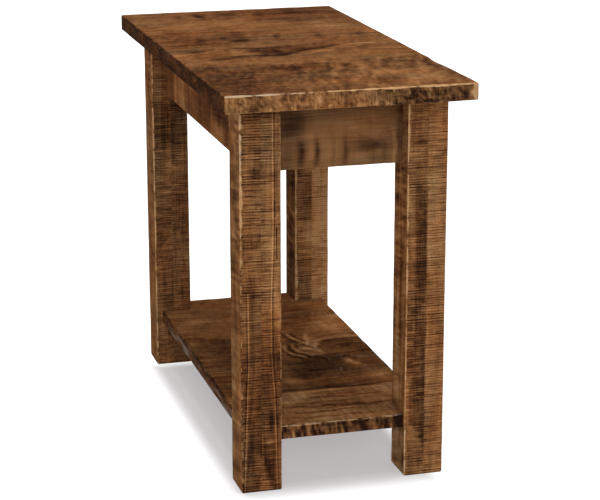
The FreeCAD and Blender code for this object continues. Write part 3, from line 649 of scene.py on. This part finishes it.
def build_leg(corner, part, end_sign, side_sign):
    """One of a leg's two boards. The saw marks run on across the glue line."""
    mesh = leg_meshes[part].copy()
    mesh.transform(Matrix.Diagonal((side_sign, end_sign, 1, 1)))
    if side_sign * end_sign < 0:
        mesh.flip_normals()
    marks, seed, warmth, left_arris = LEGS[corner]
    look = Look(corners_of(mesh), seed)
    x, y, z = look.x, look.y, look.z
    outer_x = (0, side_sign * LEG_OUT_X, side_sign)
    inner_x = (0, side_sign * LEG_IN_X, -side_sign)
    outer_y = (1, end_sign * LEG_OUT_Y, end_sign)
    inner_y = (1, end_sign * LEG_IN_Y, -end_sign)
    for face in (outer_y, inner_y):
        key = seed + (5 if face is inner_y else 0)
        on_face = look.near(face)
        strength = 0.82 + 0.26 * noise((26, 60), key + 10, x, z)
        kerf = kerf_marks(x, z, key) * np.clip(strength, 0.4, 1.1)
        look.kerf += kerf * on_face
        look.sawn = np.maximum(look.sawn, on_face)
        waves = 0.14 * (1 + noise((20, 70), key + 20, x, z))
        look.push(face, waves + 0.12 + 0.42 * kerf)
    for face in (outer_x, inner_x):
        key = seed + (8 if face is inner_x else 3)
        slope = z + y * 0.15 + 3 * noise((60,), key, z)
        ripple = noise((5.5, 50), key + 30, slope, y) * ease(noise((30, 40), key + 31, y, z), -0.8, 0.4)
        look.push(face, 0.15 * (1 + noise((30, 90), key + 21, y, z)) + 0.05 * (1 + ripple))
        shades = (0.12 + 0.12 * ease(z, 260, 380)) * ripple
        shades = shades + 0.11 * noise((16, 60), key + 32, slope, y)
        shades = shades + 0.08 * noise((7, 60), key + 33, y, z)
        look.stain += shades * look.near(face) * (0.45 if corner == "back_left" else 1)
        look.sawn = np.maximum(look.sawn, 0.55 * look.near(face))
    for index, (x_face, y_face) in enumerate(itertools.product((outer_x, inner_x), (outer_y, inner_y))):
        amount, width, spread = left_arris if x_face[2] < 0 and y_face[2] < 0 else ARRIS
        look.wear_arris(x_face, y_face, 2, amount, 0.5, width, index * 10, spread)
    look.seed = seed + (100 if part == "inner" else 0)
    middle = (x.min() + x.max()) / 2
    look.set_grain((2, 0, 1), (middle + LEG_PITH[0] * side_sign, end_sign * LEG_IN_Y + LEG_PITH[1]))
    left = look.near(outer_x if side_sign < 0 else inner_x)
    marks(look, look.near(outer_y if end_sign < 0 else inner_y), left)
    look.warmth += warmth + 0.18 * left
    add_board("leg_%s_%s" % (corner, part), mesh, look, "leg_wood")


for end, end_sign in (("front", -1), ("back", 1)):
    for side, side_sign in (("left", -1), ("right", 1)):
        for part in ("inner", "outer"):
            build_leg(end + "_" + side, part, end_sign, side_sign)


# Top: four boards side by side

def slab_faces(half_x, half_y, low, high):
    """A slab's six faces, each as (axis, place, outward sign)."""
    return {"near": (1, -half_y, -1), "far": (1, half_y, 1), "left": (0, -half_x, -1),
            "right": (0, half_x, 1), "over": (2, high, 1), "under": (2, low, -1)}


top_faces = slab_faces(TOP_X, TOP_Y, TOP_LOW, TOP_HIGH)


def top_marks(look, over):
    x, y, z = look.x, look.y, look.z
    near = look.near(top_faces["near"])
    for end in (top_faces["left"], top_faces["right"]):
        look.stain += look.near(end) * (0.36 + 0.1 * noise((40, 12), 48, y, z))
    # u and v run a little off x and y, so that no mark has a smooth outline
    u = x + 4 * noise((26, 20), 921, x, y)
    v = y + 5 * noise((24, 14), 922, x, y)
    tint(look, over, u, v, (
        (-27, -50, 11, 32, 44), (-37, -50, 16, 34, 16), (-70, -200, 86, 34, 17), (-60, -318, 46, 44, -7),
        (-120, 90, 60, 50, 5), (120, 300, 70, 60, 5), (-53, -44, 12, 30, 52), (-53, -48, 4, 8, -20),
        (14, -42, 34, 17, 20, 26), (20, -20, 44, 18, 10), (-118, 95, 62, 50, 10), (110, 165, 56, 24, -6),
        (110, 305, 90, 72, 13), (80, -290, 90, 90, -4), (-46, 105, 10, 40, 18), (-150, 60, 34, 50, 10),
        (-150, -14, 28, 15, 22), (-142, 40, 44, 5, 16), (-119, 88, 7, 20, 34, -14), (-80, 90, 6, 16, 28),
        (-58, 61, 15, 15, 38), (13, 88, 5, 20, 30, -14), (82, 82, 5, 18, 26, -14), (150, 80, 12, 16, 22),
        (-43, 143, 13, 8, 20), (10, 142, 60, 8, 8), (-150, 173, 11, 20, 18), (-171, 122, 9, 22, 18),
        (149, 200, 18, 15, 14), (90, 258, 70, 14, 8), (-64, 324, 9, 28, 42), (-102, 322, 9, 22, 26, -10),
        (-14, 330, 16, 20, 24), (46, 320, 8, 32, 16, -16), (100, 330, 9, 34, 10, -14),
        (172, 296, 7, 24, 14), (40, 262, 36, 12, 10), (125, 169, 46, 9, -16), (-60, 225, 110, 46, -6),
        (-110, -120, 60, 14, -8), (70, -120, 90, 24, -8), (-85, -55, 28, 16, -12),
        (-160, -160, 14, 22, 24), (-57, -190, 13, 24, 20), (-36, -210, 9, 38, 20, -6),
        (20, -200, 3.4, 30, 14, -6), (46, -190, 9, 26, 16), (120, -176, 26, 14, 10),
        (173, -208, 8, 40, 24), (-150, -290, 46, 80, 28), (-85, -287, 10, 16, 16), (0, -302, 6, 26, 22),
        (-38, -296, 4, 22, 12), (86, -316, 5, 20, 20, -14), (60, -345, 14, 12, 16), (6, -346, 8, 12, 16),
        (66, -225, 9, 52, -20), (138, -300, 34, 46, -16), (-24, -330, 18, 20, -10),
        (30, -262, 18, 26, -10), (-130, -66, 46, 60, 10), (-10, 95, 90, 70, 5), (60, 290, 80, 70, 3),
    ))
    for path, width, depth in (
        ((-18, -78, 10, -59, 40, -43, 66, -30, 80, -17), 9, 32), ((-22, -80, 8, -62, 36, -46), 4.5, 16),
        ((-28, -84, -50, -80, -90, -79, -120, -88, -136, -97), 8.5, 26),
        ((-34, -85, -60, -81, -90, -80), 4, 12), ((-12, -12, -40, -15, -84, -7), 6, 26),
        ((-8, -18, 22, -2, 66, 2), 9, 16), ((80, -31, 100, -19, 130, -12, 146, -10), 3.8, -30),
        ((-182, -46, -150, -38, -114, -20), 4.5, -26), ((-184, 36, -140, 44, -100, 46), 3.2, 20),
        ((-96, -66, -60, -60), 4, -16), ((-14, -92, 20, -78, 70, -58), 4, -16),
    ):
        look.stain += over * (depth / 100) * stroke(u, v, path, width)
    look.stain += over * (0.07 * ease(v, 285, 335) + 0.05 * ease(v, -146, -158))
    look.sawn = np.maximum(look.sawn, 0.35 * over * ease(y, -148, -152))
    lean = x - 0.28 * y
    fine = noise((3.4, 14), 902, lean, y)
    smudge = noise((9, 52), 901, lean + 4 * noise((30, 30), 905, x, y), y)
    look.stain += over * (0.07 + 0.07 * ease(v, -130, -160)) * fine
    look.stain += over * (0.05 + 0.12 * ease(v, -130, -160) * ease(u, -120, 20)) * smudge
    # A painted grey glint by the knot.
    tint(look, over, u, v, ((-52, -48, 5, 9, 45),), "grey")
    hatch = 0.8 * noise((2.9, 3.4), 903, x, z) + 0.7 * noise((9, 6), 904, x, z)
    hatch = hatch + 0.4 * noise((2.6, 12), 906, x, z)
    darker = ease(x, -30, 60) + ease(x, 40, 75) - 0.5 * ease(x, 118, 135)
    look.stain += near * ((0.26 + 0.04 * darker) * hatch - 0.09 + 0.14 * darker)
    look.warmth -= near * (0.25 + 0.22 * darker)
    tint(look, over, u, v, (
        (120, 300, 80, 70, 45), (-110, 90, 60, 60, 45), (-130, -66, 46, 60, 35), (50, 285, 50, 70, 35),
    ), "warmth")
    corner = 0.8 * ease(x, 181, 190) + 0.35 * ease(x, -187, -192)
    look.wear = np.maximum(look.wear, near * corner)
    tint(look, near, x, z, (
        (-148, 609, 10, 12, 20), (-106, 608, 2, 14, 26), (-74, 616, 3, 7, 34, -20),
        (-160, 601, 12, 3, 18), (-130, 603, 8, 4, 14), (-14, 611, 10, 8, 14), (-180, 606, 12, 14, 5),
        (-60, 612, 14, 10, -12), (187, 609, 7, 16, -60), (-181, 610, 9, 2.4, -16), (62, 612, 16, 8, 12),
        (100, 608, 10, 10, 14), (150, 606, 16, 10, 14), (176, 604, 6, 8, 16),
    ))


def top_side(look, face, over):
    """A long side of the top, with worn corners in front."""
    x, z = look.x, look.z
    look.push(face, 0.25 * (1 + noise((80, 30), 45, x, z)) + 0.2 * (1 + noise((9, 12), 46, x, z)), 4)
    # A painted grey sheen along the left part of the near arris.
    look.grey += 0.6 * look.near(face, 14) * look.near(over, 2) * ease(x, -70, -110)
    if face is top_faces["near"]:
        for end, amount, width in (("left", 0.75, 2.2), ("right", 1, 4)):
            look.wear_arris(top_faces[end], face, 2, amount, 2.2, width, 30, 0.6)


# Shelf: three boards side by side

shelf_faces = slab_faces(SHELF_X, SHELF_Y, SHELF_LOW, SHELF_HIGH)


def shelf_marks(look, over):
    x, y, z = look.x, look.y, look.z
    near, left = look.near(shelf_faces["near"]), look.near(shelf_faces["left"])
    # u and v bend as on the top
    u = x + 3.5 * noise((22, 26), 931, x, y)
    v = y + 6 * noise((24, 26), 932, x, y)
    tint(look, over, u, v, (
        (116, 130, 32, 46, -36), (140, 176, 20, 26, -18), (40, 10, 14, 20, -24), (53, 48, 9, 28, -14),
        (2, -118, 16, 16, 12), (106, 10, 34, 36, 26), (106, 10, 7, 7, 8), (142, -22, 20, 40, 20),
        (122, -82, 22, 26, 26), (18, -85, 36, 40, 34), (68, -72, 26, 36, 26), (45, -34, 26, 12, 26),
        (94, -68, 8, 10, -58), (103, -86, 7, 9, -56), (122, -150, 14, 8, -20), (115, -98, 5, 5, -24),
        (85, -210, 26, 14, -10), (88, -252, 20, 12, -10), (105, 282, 44, 28, -14), (30, -320, 10, 14, 8),
        (128, -155, 16, 26, -26), (-30, -130, 16, 18, -20), (26, -150, 36, 30, 17), (-100, 20, 46, 60, 6),
        (76, -108, 12, 24, 10), (-60, 225, 46, 56, -12), (-85, 140, 34, 22, -16), (-20, 150, 40, 60, -12),
        (100, 215, 60, 22, 5), (-110, 250, 40, 60, -9), (60, 60, 10, 16, -16), (-35, -212, 22, 16, -16),
        (120, -225, 24, 16, -18), (30, -268, 34, 6, 22), (50, -225, 4, 34, 16), (30, -215, 110, 24, -6),
        (14, -254, 34, 15, 20), (40, -68, 44, 34, 14), (40, -187, 90, 5, 34), (10, -182, 40, 8, 20),
        (-10, -300, 40, 16, -8), (-58, -262, 32, 56, -12), (84, -146, 30, 28, 10),
        (-122, -36, 24, 80, -9), (-122, 170, 24, 80, 7),
    ))
    for path, width, depth in (
        ((28, 92, 36, 70, 46, 48, 50, 36), 3, -44), ((38, 92, 43, 68, 49, 50), 3, 50),
        ((22, 96, 24, 72, 34, 50), 3, 36), ((62, 88, 54, 56, 50, 36), 3, -34),
        ((60, 22, 68, 44, 92, 59, 126, 59, 148, 53), 3.6, -34),
        ((66, 10, 74, 34, 96, 48, 126, 48, 148, 42), 3.4, 20),
        ((10, 34, 6, 6, 12, -14, 27, -36), 2.8, -40), ((17, 34, 13, 8, 19, -12, 35, -34), 2.6, 44),
        ((-16, -226, 14, -228, 34, -233), 1.7, 44), ((34, -233, 70, -232, 96, -229), 1.3, 30),
        ((-70, -245, -10, -248, 70, -246), 1.1, 24),
        ((-96, -257, -40, -261, 0, -267, 60, -272, 104, -267), 1.5, 42),
        ((-60, -282, 0, -287, 80, -290), 1.2, 30), ((-90, -303, -20, -311, 60, -312), 1.1, 28),
        ((-10, -207, 40, -205, 100, -208), 1.4, 22), ((10, -219, 60, -217), 1.2, 18),
        ((24, 34, 20, 12, 27, -8, 42, -22), 2.6, -34), ((30, 36, 28, 16, 36, -4), 2.4, 34),
        ((28, 8, 44, 14, 56, -2, 64, -12), 4, -34), ((44, 34, 52, 18, 56, 0), 2.6, 36),
        ((2, 30, 0, 4, 6, -20, 20, -42), 2.6, 30), ((66, -14, 84, -38, 110, -54), 3.6, 26),
    ):
        look.stain += over * (depth / 100) * stroke(u, v, path, width, 0.5)
    # Painted grey glints in bars and wisps; the wisps are also lighter, a painted highlight.
    bars = ease(noise((3.6, 50), 933, u - 0.3 * v, v), -0.3, 0.5)
    tint(look, 0.8 * over * (0.5 + 0.5 * bars), u, v, (
        (60, 10, 5, 18, 95), (40, -24, 20, 12, 66), (67, -96, 4, 30, 42), (88, -44, 26, 8, 62, -35),
        (76, -108, 12, 24, 80), (36, -74, 38, 38, 52),
    ), "grey")
    for path, width, share in (
        ((60, 26, 62, 2, 64, -16, 84, -36, 112, -50, 146, -58), 3.4, 55),
        ((38, -8, 56, -24, 64, -46, 67, -84), 3, 50), ((66, -98, 69, -120, 78, -138), 2.4, 60),
        ((80, -100, 79, -118, 84, -134), 2.2, 50), ((4, 2, 14, -22, 36, -40), 2.4, 40),
    ):
        wisp = over * (share / 100) * stroke(u, v, path, width, 0.6) * (0.5 + 0.5 * bars)
        look.grey = np.maximum(look.grey, 1.25 * wisp)
        look.stain -= 0.3 * wisp
    tint(look, over, u, v, (
        (108, 12, 36, 34, 50), (40, -150, 80, 30, 40), (98, -78, 12, 24, 50), (26, -72, 46, 44, -50),
    ), "warmth")
    edge = np.interp(u, (-148, -60), (130, 90))
    reddish = ease(v, edge + 4, edge - 4)
    look.stain += over * 0.16 * reddish * ease(u, -20, -50) * ease(v, -260, -180)
    look.stain -= over * 0.14 * ease(v, -188, -190)
    planed = noise((4.4, 70), 911, x + 0.1 * y, y)
    front_board = over * ease(y, -187, -191)
    look.stain += (0.04 * over + 0.04 * front_board) * planed - 0.02 * front_board
    look.sawn = np.maximum(look.sawn, 0.45 * front_board)
    fine = noise((2.1, 26), 917, x + 0.15 * y, y)
    fine = fine + 0.8 * noise((30, 2.3), 918, x, y)
    look.stain += 0.09 * front_board * fine * (1 + 0.5 * ease(y, -255, -285))
    look.stain += over * 0.08 * noise((3.4, 14), 934, x - 0.28 * y, y)
    look.warmth += 0.22 * over * ease(y, 90, 100) - 0.12 * front_board
    slant = x + 0.35 * (z - 88) * noise((40,), 916, x)
    stripes = noise((3.8, 60), 912, slant, z) + 0.8 * noise((1.9, 12), 913, slant, z)
    # The face darkens toward its right end, a painted shade beside the front right leg.
    look.stain += near * (0.34 + 0.42 * stripes + 0.16 * ease(x, 70, 95))
    look.warmth -= near * 0.4
    tint(look, near, x, z, (
        # The patch at (95, 88) is painted shade beside the front right leg.
        (32, 88, 8, 20, 36), (47, 90, 8, 8, -24), (95, 88, 10, 20, 26), (-41, 92, 3, 8, -24),
        (-76, 90, 3, 12, -20), (-96, 88, 6, 16, 20),
    ))
    look.stain += left * (0.3 + 0.14 * noise((14, 9), 914, y, z) + 0.14 * ease(z, 91, 97))
    streaked = noise((46, 9), 915, y, z) + 0.5 * noise((12, 4), 919, y, z)
    # A painted grey sheen on the lower part of the end.
    look.grey += left * (0.46 + 0.4 * streaked) * ease(z, 98, 91)


def shelf_side(look, face, over):
    """A long side of the shelf."""
    look.push(face, 0.25 * (1 + noise((7, 40), 145, look.x, look.z)), 4)
    # A painted grey sheen in patches along the arris.
    pale = ease(noise((32,), 146, look.x), -0.6, 0.2)
    look.grey += 0.6 * look.near(face, 4) * look.near(over, 2) * pale


# How each slab is cut and shaped, in mm. The waves are those of the upper face, long and short, and of
# the ends: each a depth and a size. The wear is that of the long sides, then of the ends: how pale
# above, how pale below, and its spread. The seeds number the noise.
SLABS = {
    "top": {
        "faces": top_faces, "seams": TOP_SEAMS, "seam_depth": 0.22, "seed": 40,
        "cuts": ((3.4, 3.4, 4.2), ((1, 2.4, 4), (1, 2.4), (1, 2.4, 4.5))),
        "waves": ((0.14, (60, 85)), (0.1, (22, 34)), (0.3, (70, 30))), "dents": 0.7,
        # On the top's long sides the pale arris spreads onto the upper face: worn wood, and in part a
        # painted highlight along the rounded arris.
        "wear": ((1, 0.5, 0.4), (0.35, 0.175, 1)), "wear_seed": 70, "side": top_side,
        "knots": ((-30, -50, 16), (-58, 62, 6), (12, 86, 5), (82, 80, 4), (-118, 88, 5), (-63, 325, 6)),
        "pith": TOP_PITH, "marks": top_marks,
    },
    "shelf": {
        "faces": shelf_faces, "seams": SHELF_SEAMS, "seam_depth": 0.3, "seed": 140,
        "cuts": ((3.4, 3.6, 4.4), ((1, 2.4), (1, 2.4), (1, 2.4, 4.5))),
        "waves": ((0.12, (55, 75)), (0.08, (18, 30)), (0.45, (34, 16))), "dents": 0.8,
        "wear": ((0.62, 0.5, 1), (0.42, 0.5, 1)), "wear_seed": 90, "side": shelf_side,
        "knots": ((46, 20, 22), (105, 8, 20)), "pith": SHELF_PITH, "marks": shelf_marks,
    },
}


def build_slab(kind, name, seed, low_y, high_y):
    """The board of the top or the shelf that lies between low_y and high_y."""
    node = "%s_board_%s" % (kind, name)
    slab = SLABS[kind]
    faces, key = slab["faces"], slab["seed"]
    over, ends = faces["over"], [faces["left"], faces["right"]]
    mesh = cut_fine(node, *slab["cuts"])
    look = Look(corners_of(mesh), seed)
    x, y, z = look.x, look.y, look.z
    (long_depth, long_size), (short_depth, short_size), (end_depth, end_size) = slab["waves"]
    waves = long_depth * (1 + noise(long_size, key, x, y))
    look.push(over, waves + short_depth * (1 + noise(short_size, key + 1, x, y)), 5)
    for seam in slab["seams"]:
        look.push(over, slab["seam_depth"] * np.exp(-((y - seam) / SEAM_WIDTH) ** 2), 2)
    for face in ends:
        look.push(face, end_depth * (1 + noise(end_size, key + 2 + face[2], y, z)), 6)
    sides = [faces[side] for side in ("near", "far") if faces[side][1] in (low_y, high_y)]
    for index, face in enumerate(ends + sides):
        along = 1 - face[0]
        pale, pale_below, spread = slab["wear"][along]
        look.seed = slab["wear_seed"] + index
        look.wear_arris(face, over, along, pale, slab["dents"], 2.2, index * 10, spread)
        look.wear_arris(face, faces["under"], along, pale_below, 0.4, 1.6, index * 10 + 5)
    for face in sides:
        look.sawn = np.maximum(look.sawn, look.near(face))
        slab["side"](look, face, over)
    look.seed = seed
    knots = [knot for knot in slab["knots"] if low_y < knot[1] < high_y]
    pith = ((low_y + high_y) / 2 + slab["pith"][0], over[1] - slab["pith"][1])
    look.set_grain((0, 1, 2), pith, knots)
    slab["marks"](look, look.near(over, 5))
    add_board(node, mesh, look, kind + "_wood")


for kind, seed, step, edges, names in (
    ("top", 301, 17, (-TOP_Y, *TOP_SEAMS, TOP_Y), ("front", "second", "third", "back")),
    ("shelf", 401, 19, (-SHELF_Y, *SHELF_SEAMS, SHELF_Y), ("front", "middle", "back")),
):
    for index, name in enumerate(names):
        build_slab(kind, name, seed + step * index, edges[index], edges[index + 1])


# Aprons

def build_apron(name, seed, axis, sign):
    """An apron; axis is the one it faces along."""
    run = 1 - axis
    size, close = [3.6, 3.6, 3.6], [(), (), (0.8, 2)]
    size[axis] = 7
    mesh = cut_fine("apron_" + name, size, close)
    look = Look(corners_of(mesh), seed)
    place = APRON_OUT_X if axis == 0 else APRON_OUT_Y
    outside = (axis, sign * place, sign)
    inside = (axis, sign * (place - APRON_THICK), -sign)
    along = look.points[:, run]
    for face in (outside, inside):
        look.push(face, 0.12 * (1 + noise((70, 34), seed + face[2], along, look.z)), 3)
    underside = (2, APRON_LOW, -1)
    look.wear_arris(outside, underside, run, 0.3, 0.6, 1.8)
    look.set_grain((run, 2, axis), (APRON_PITH[0], sign * (place - APRON_PITH[1])))
    show = look.near(outside)
    # Darker toward the top: a painted shadow under the top's overhang.
    look.stain += show * 0.15 * ease(look.z, 564, 588)
    if name == "front":
        tint(look, show, along + 1.2 * noise((20,), 975, look.z), look.z, (
            (-76, 558, 20, 22, 34), (-62, 566, 12, 14, 16), (-59, 515, 5.5, 18, 48),
            (-44, 515, 6, 18, -10), (-14, 515, 16, 20, -11), (-76, 530, 14, 6, -6),
            (-35, 517, 3.4, 20, 42), (-80, 512, 9, 16, 14), (-10, 512, 3, 18, 12), (9, 514, 3.4, 20, 28),
            # (93, 540) is a painted shade beside the front right leg, and (80, 560) on the next line a
            # painted shade under the top.
            (52, 525, 26, 8, 36), (52, 508, 4, 12, 12), (70, 510, 4, 12, 14), (93, 540, 4, 60, 24),
            (86, 515, 2.2, 22, -32), (-45, 542, 14, 8, -10), (80, 560, 14, 14, 8), (30, 508, 14, 10, -8),
        ))
        tint(look, show, along, look.z, ((-72, 558, 28, 26, -50),), "warmth")
        look.warmth -= 0.1 * show
    else:
        bands = noise((15, 400), seed + 9, along, look.z) + 0.6 * noise((5, 90), seed + 10, along, look.z)
        look.stain += show * 0.15 * np.clip(bands, -0.6, 1)
        look.warmth += show * 0.6
        tint(look, show, along, look.z, (
            (135, 520, 3, 60, 26), (-2, 520, 4, 60, 28), (-95, 536, 50, 12, 20), (-105, 508, 24, 8, -20),
            (-156, 520, 18, 40, 30), (185, 520, 44, 40, -16), (110, 520, 5, 60, 14),
            # (-95, 546) is a painted shadow below the top's edge, on the near half.
            (-20, 520, 24, 60, 7), (30, 520, 3, 60, 14), (-95, 546, 56, 20, 26), (70, 520, 50, 60, 10),
            (-105, 535, 40, 12, 6), (252, 520, 24, 60, 12), (12, 520, 22, 60, 6), (170, 520, 20, 60, 5),
            (130, 520, 14, 60, 5),
        ))
    add_board("apron_" + name, mesh, look, "apron_wood")


for name, seed, axis, sign in (("front", 501, 1, -1), ("back", 521, 1, 1),
                               ("left", 541, 0, -1), ("right", 561, 0, 1)):
    build_apron(name, seed, axis, sign)


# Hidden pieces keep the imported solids

hidden = {"screws": zinc_steel("screw_steel"), "corner_block": plain_wood("block_wood", 2),
          "top_button": plain_wood("button_wood", 0)}
for node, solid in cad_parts.items():
    kind = next((kind for kind in hidden if kind in node), None)
    if kind:
        solid.data.materials.clear()
        solid.data.materials.append(hidden[kind])


# Camera, at the photograph's angle

CAMERA_PLACE = (-0.8356, -3.0586, 1.1745)
YAW, PITCH, ROLL = (math.radians(a) for a in (15.764, 15.774, 0.065))
FOCAL_PIXELS, FRAME_PIXELS = 1984.6, 600
lens = bpy.data.cameras.new("camera")
lens.sensor_width = 36
lens.lens = lens.sensor_width * FOCAL_PIXELS / FRAME_PIXELS
camera = add_object("camera", lens)
turned = Matrix.Translation(CAMERA_PLACE)
for angle, axis in ((-YAW, "Z"), (math.pi / 2 - PITCH, "X"), (-ROLL, "Z")):
    turned = turned @ Matrix.Rotation(angle, 4, axis)
camera.matrix_world = turned
bpy.context.scene.camera = camera


# Floor and light

def add_sun(name, strength, softness, toward):
    """A wide soft lamp that shines along toward."""
    lamp = bpy.data.lights.new(name, "SUN")
    lamp.energy = strength
    lamp.angle = softness
    holder = add_object(name, lamp)
    holder.rotation_euler = Vector(toward).to_track_quat("-Z", "Y").to_euler()


add_sun("overhead", 2, 0.42, (0, 0, -1))
add_sun("front", 1.15, 0.3, (0.22, 0.86, -0.46))

studio = Graph("studio", "worlds")
bpy.context.scene.world = studio.owner
sky = studio.tree.nodes["Background"]
for socket, value in zip(sky.inputs, (WHITE, 0.5)):
    studio.feed(socket, value)
studio.by_ray(sky.outputs[0], studio.make("Background", (WHITE, 1)), "World Output")

FLOOR_HALF = 12.0
floor_mesh = bpy.data.meshes.new("floor")
rim = [(x * FLOOR_HALF, y * FLOOR_HALF, 0) for x, y in ((-1, -1), (1, -1), (1, 1), (-1, 1))]
floor_mesh.from_pydata(rim, [], [(0, 1, 2, 3)])
floor = add_object("floor", floor_mesh)
paper = Graph("floor_paper")
place = paper.place()
speckle = paper.noise(place, (9, 9, 9), 3)
paper.coat({
    "Base Color": paper.ramp(speckle, ((0, (0.86, 0.855, 0.86)), (1, (0.88, 0.875, 0.88)))),
    "Roughness": 0.9, "Specular IOR Level": 0,
})
# The shadow that the camera sees on the floor is painted: the glow turns grey where ambient occlusion is
# low and inside soft edges at fixed places round the table.
lit = paper.range(paper.make("AmbientOcclusion", {"Distance": 0.2}, "AO", samples=24), 0.62, 0.95)
across, along, _ = paper.parts(place)
for way, dark_at, pale_at in ((across, -152, -192), (across, 120, 163), (along, -327, -411),
                              (along, 250, 300)):
    lit = paper.greater(lit, paper.range(way, dark_at, pale_at))
glow = paper.make("Emission", (paper.ramp(lit, ((0, (0.4, 0.383, 0.388)), (1, (1, 1, 1)))),))
matt = paper.make("BsdfDiffuse", ((0.3, 0.3, 0.3, 1),))
plain = paper.tree.nodes["Principled BSDF"].outputs[0]
paper.by_ray(plain, paper.make("AddShader", (matt, glow)), "Material Output")
floor_mesh.materials.append(paper.owner)

bpy.context.scene.view_settings.view_transform = "Standard"
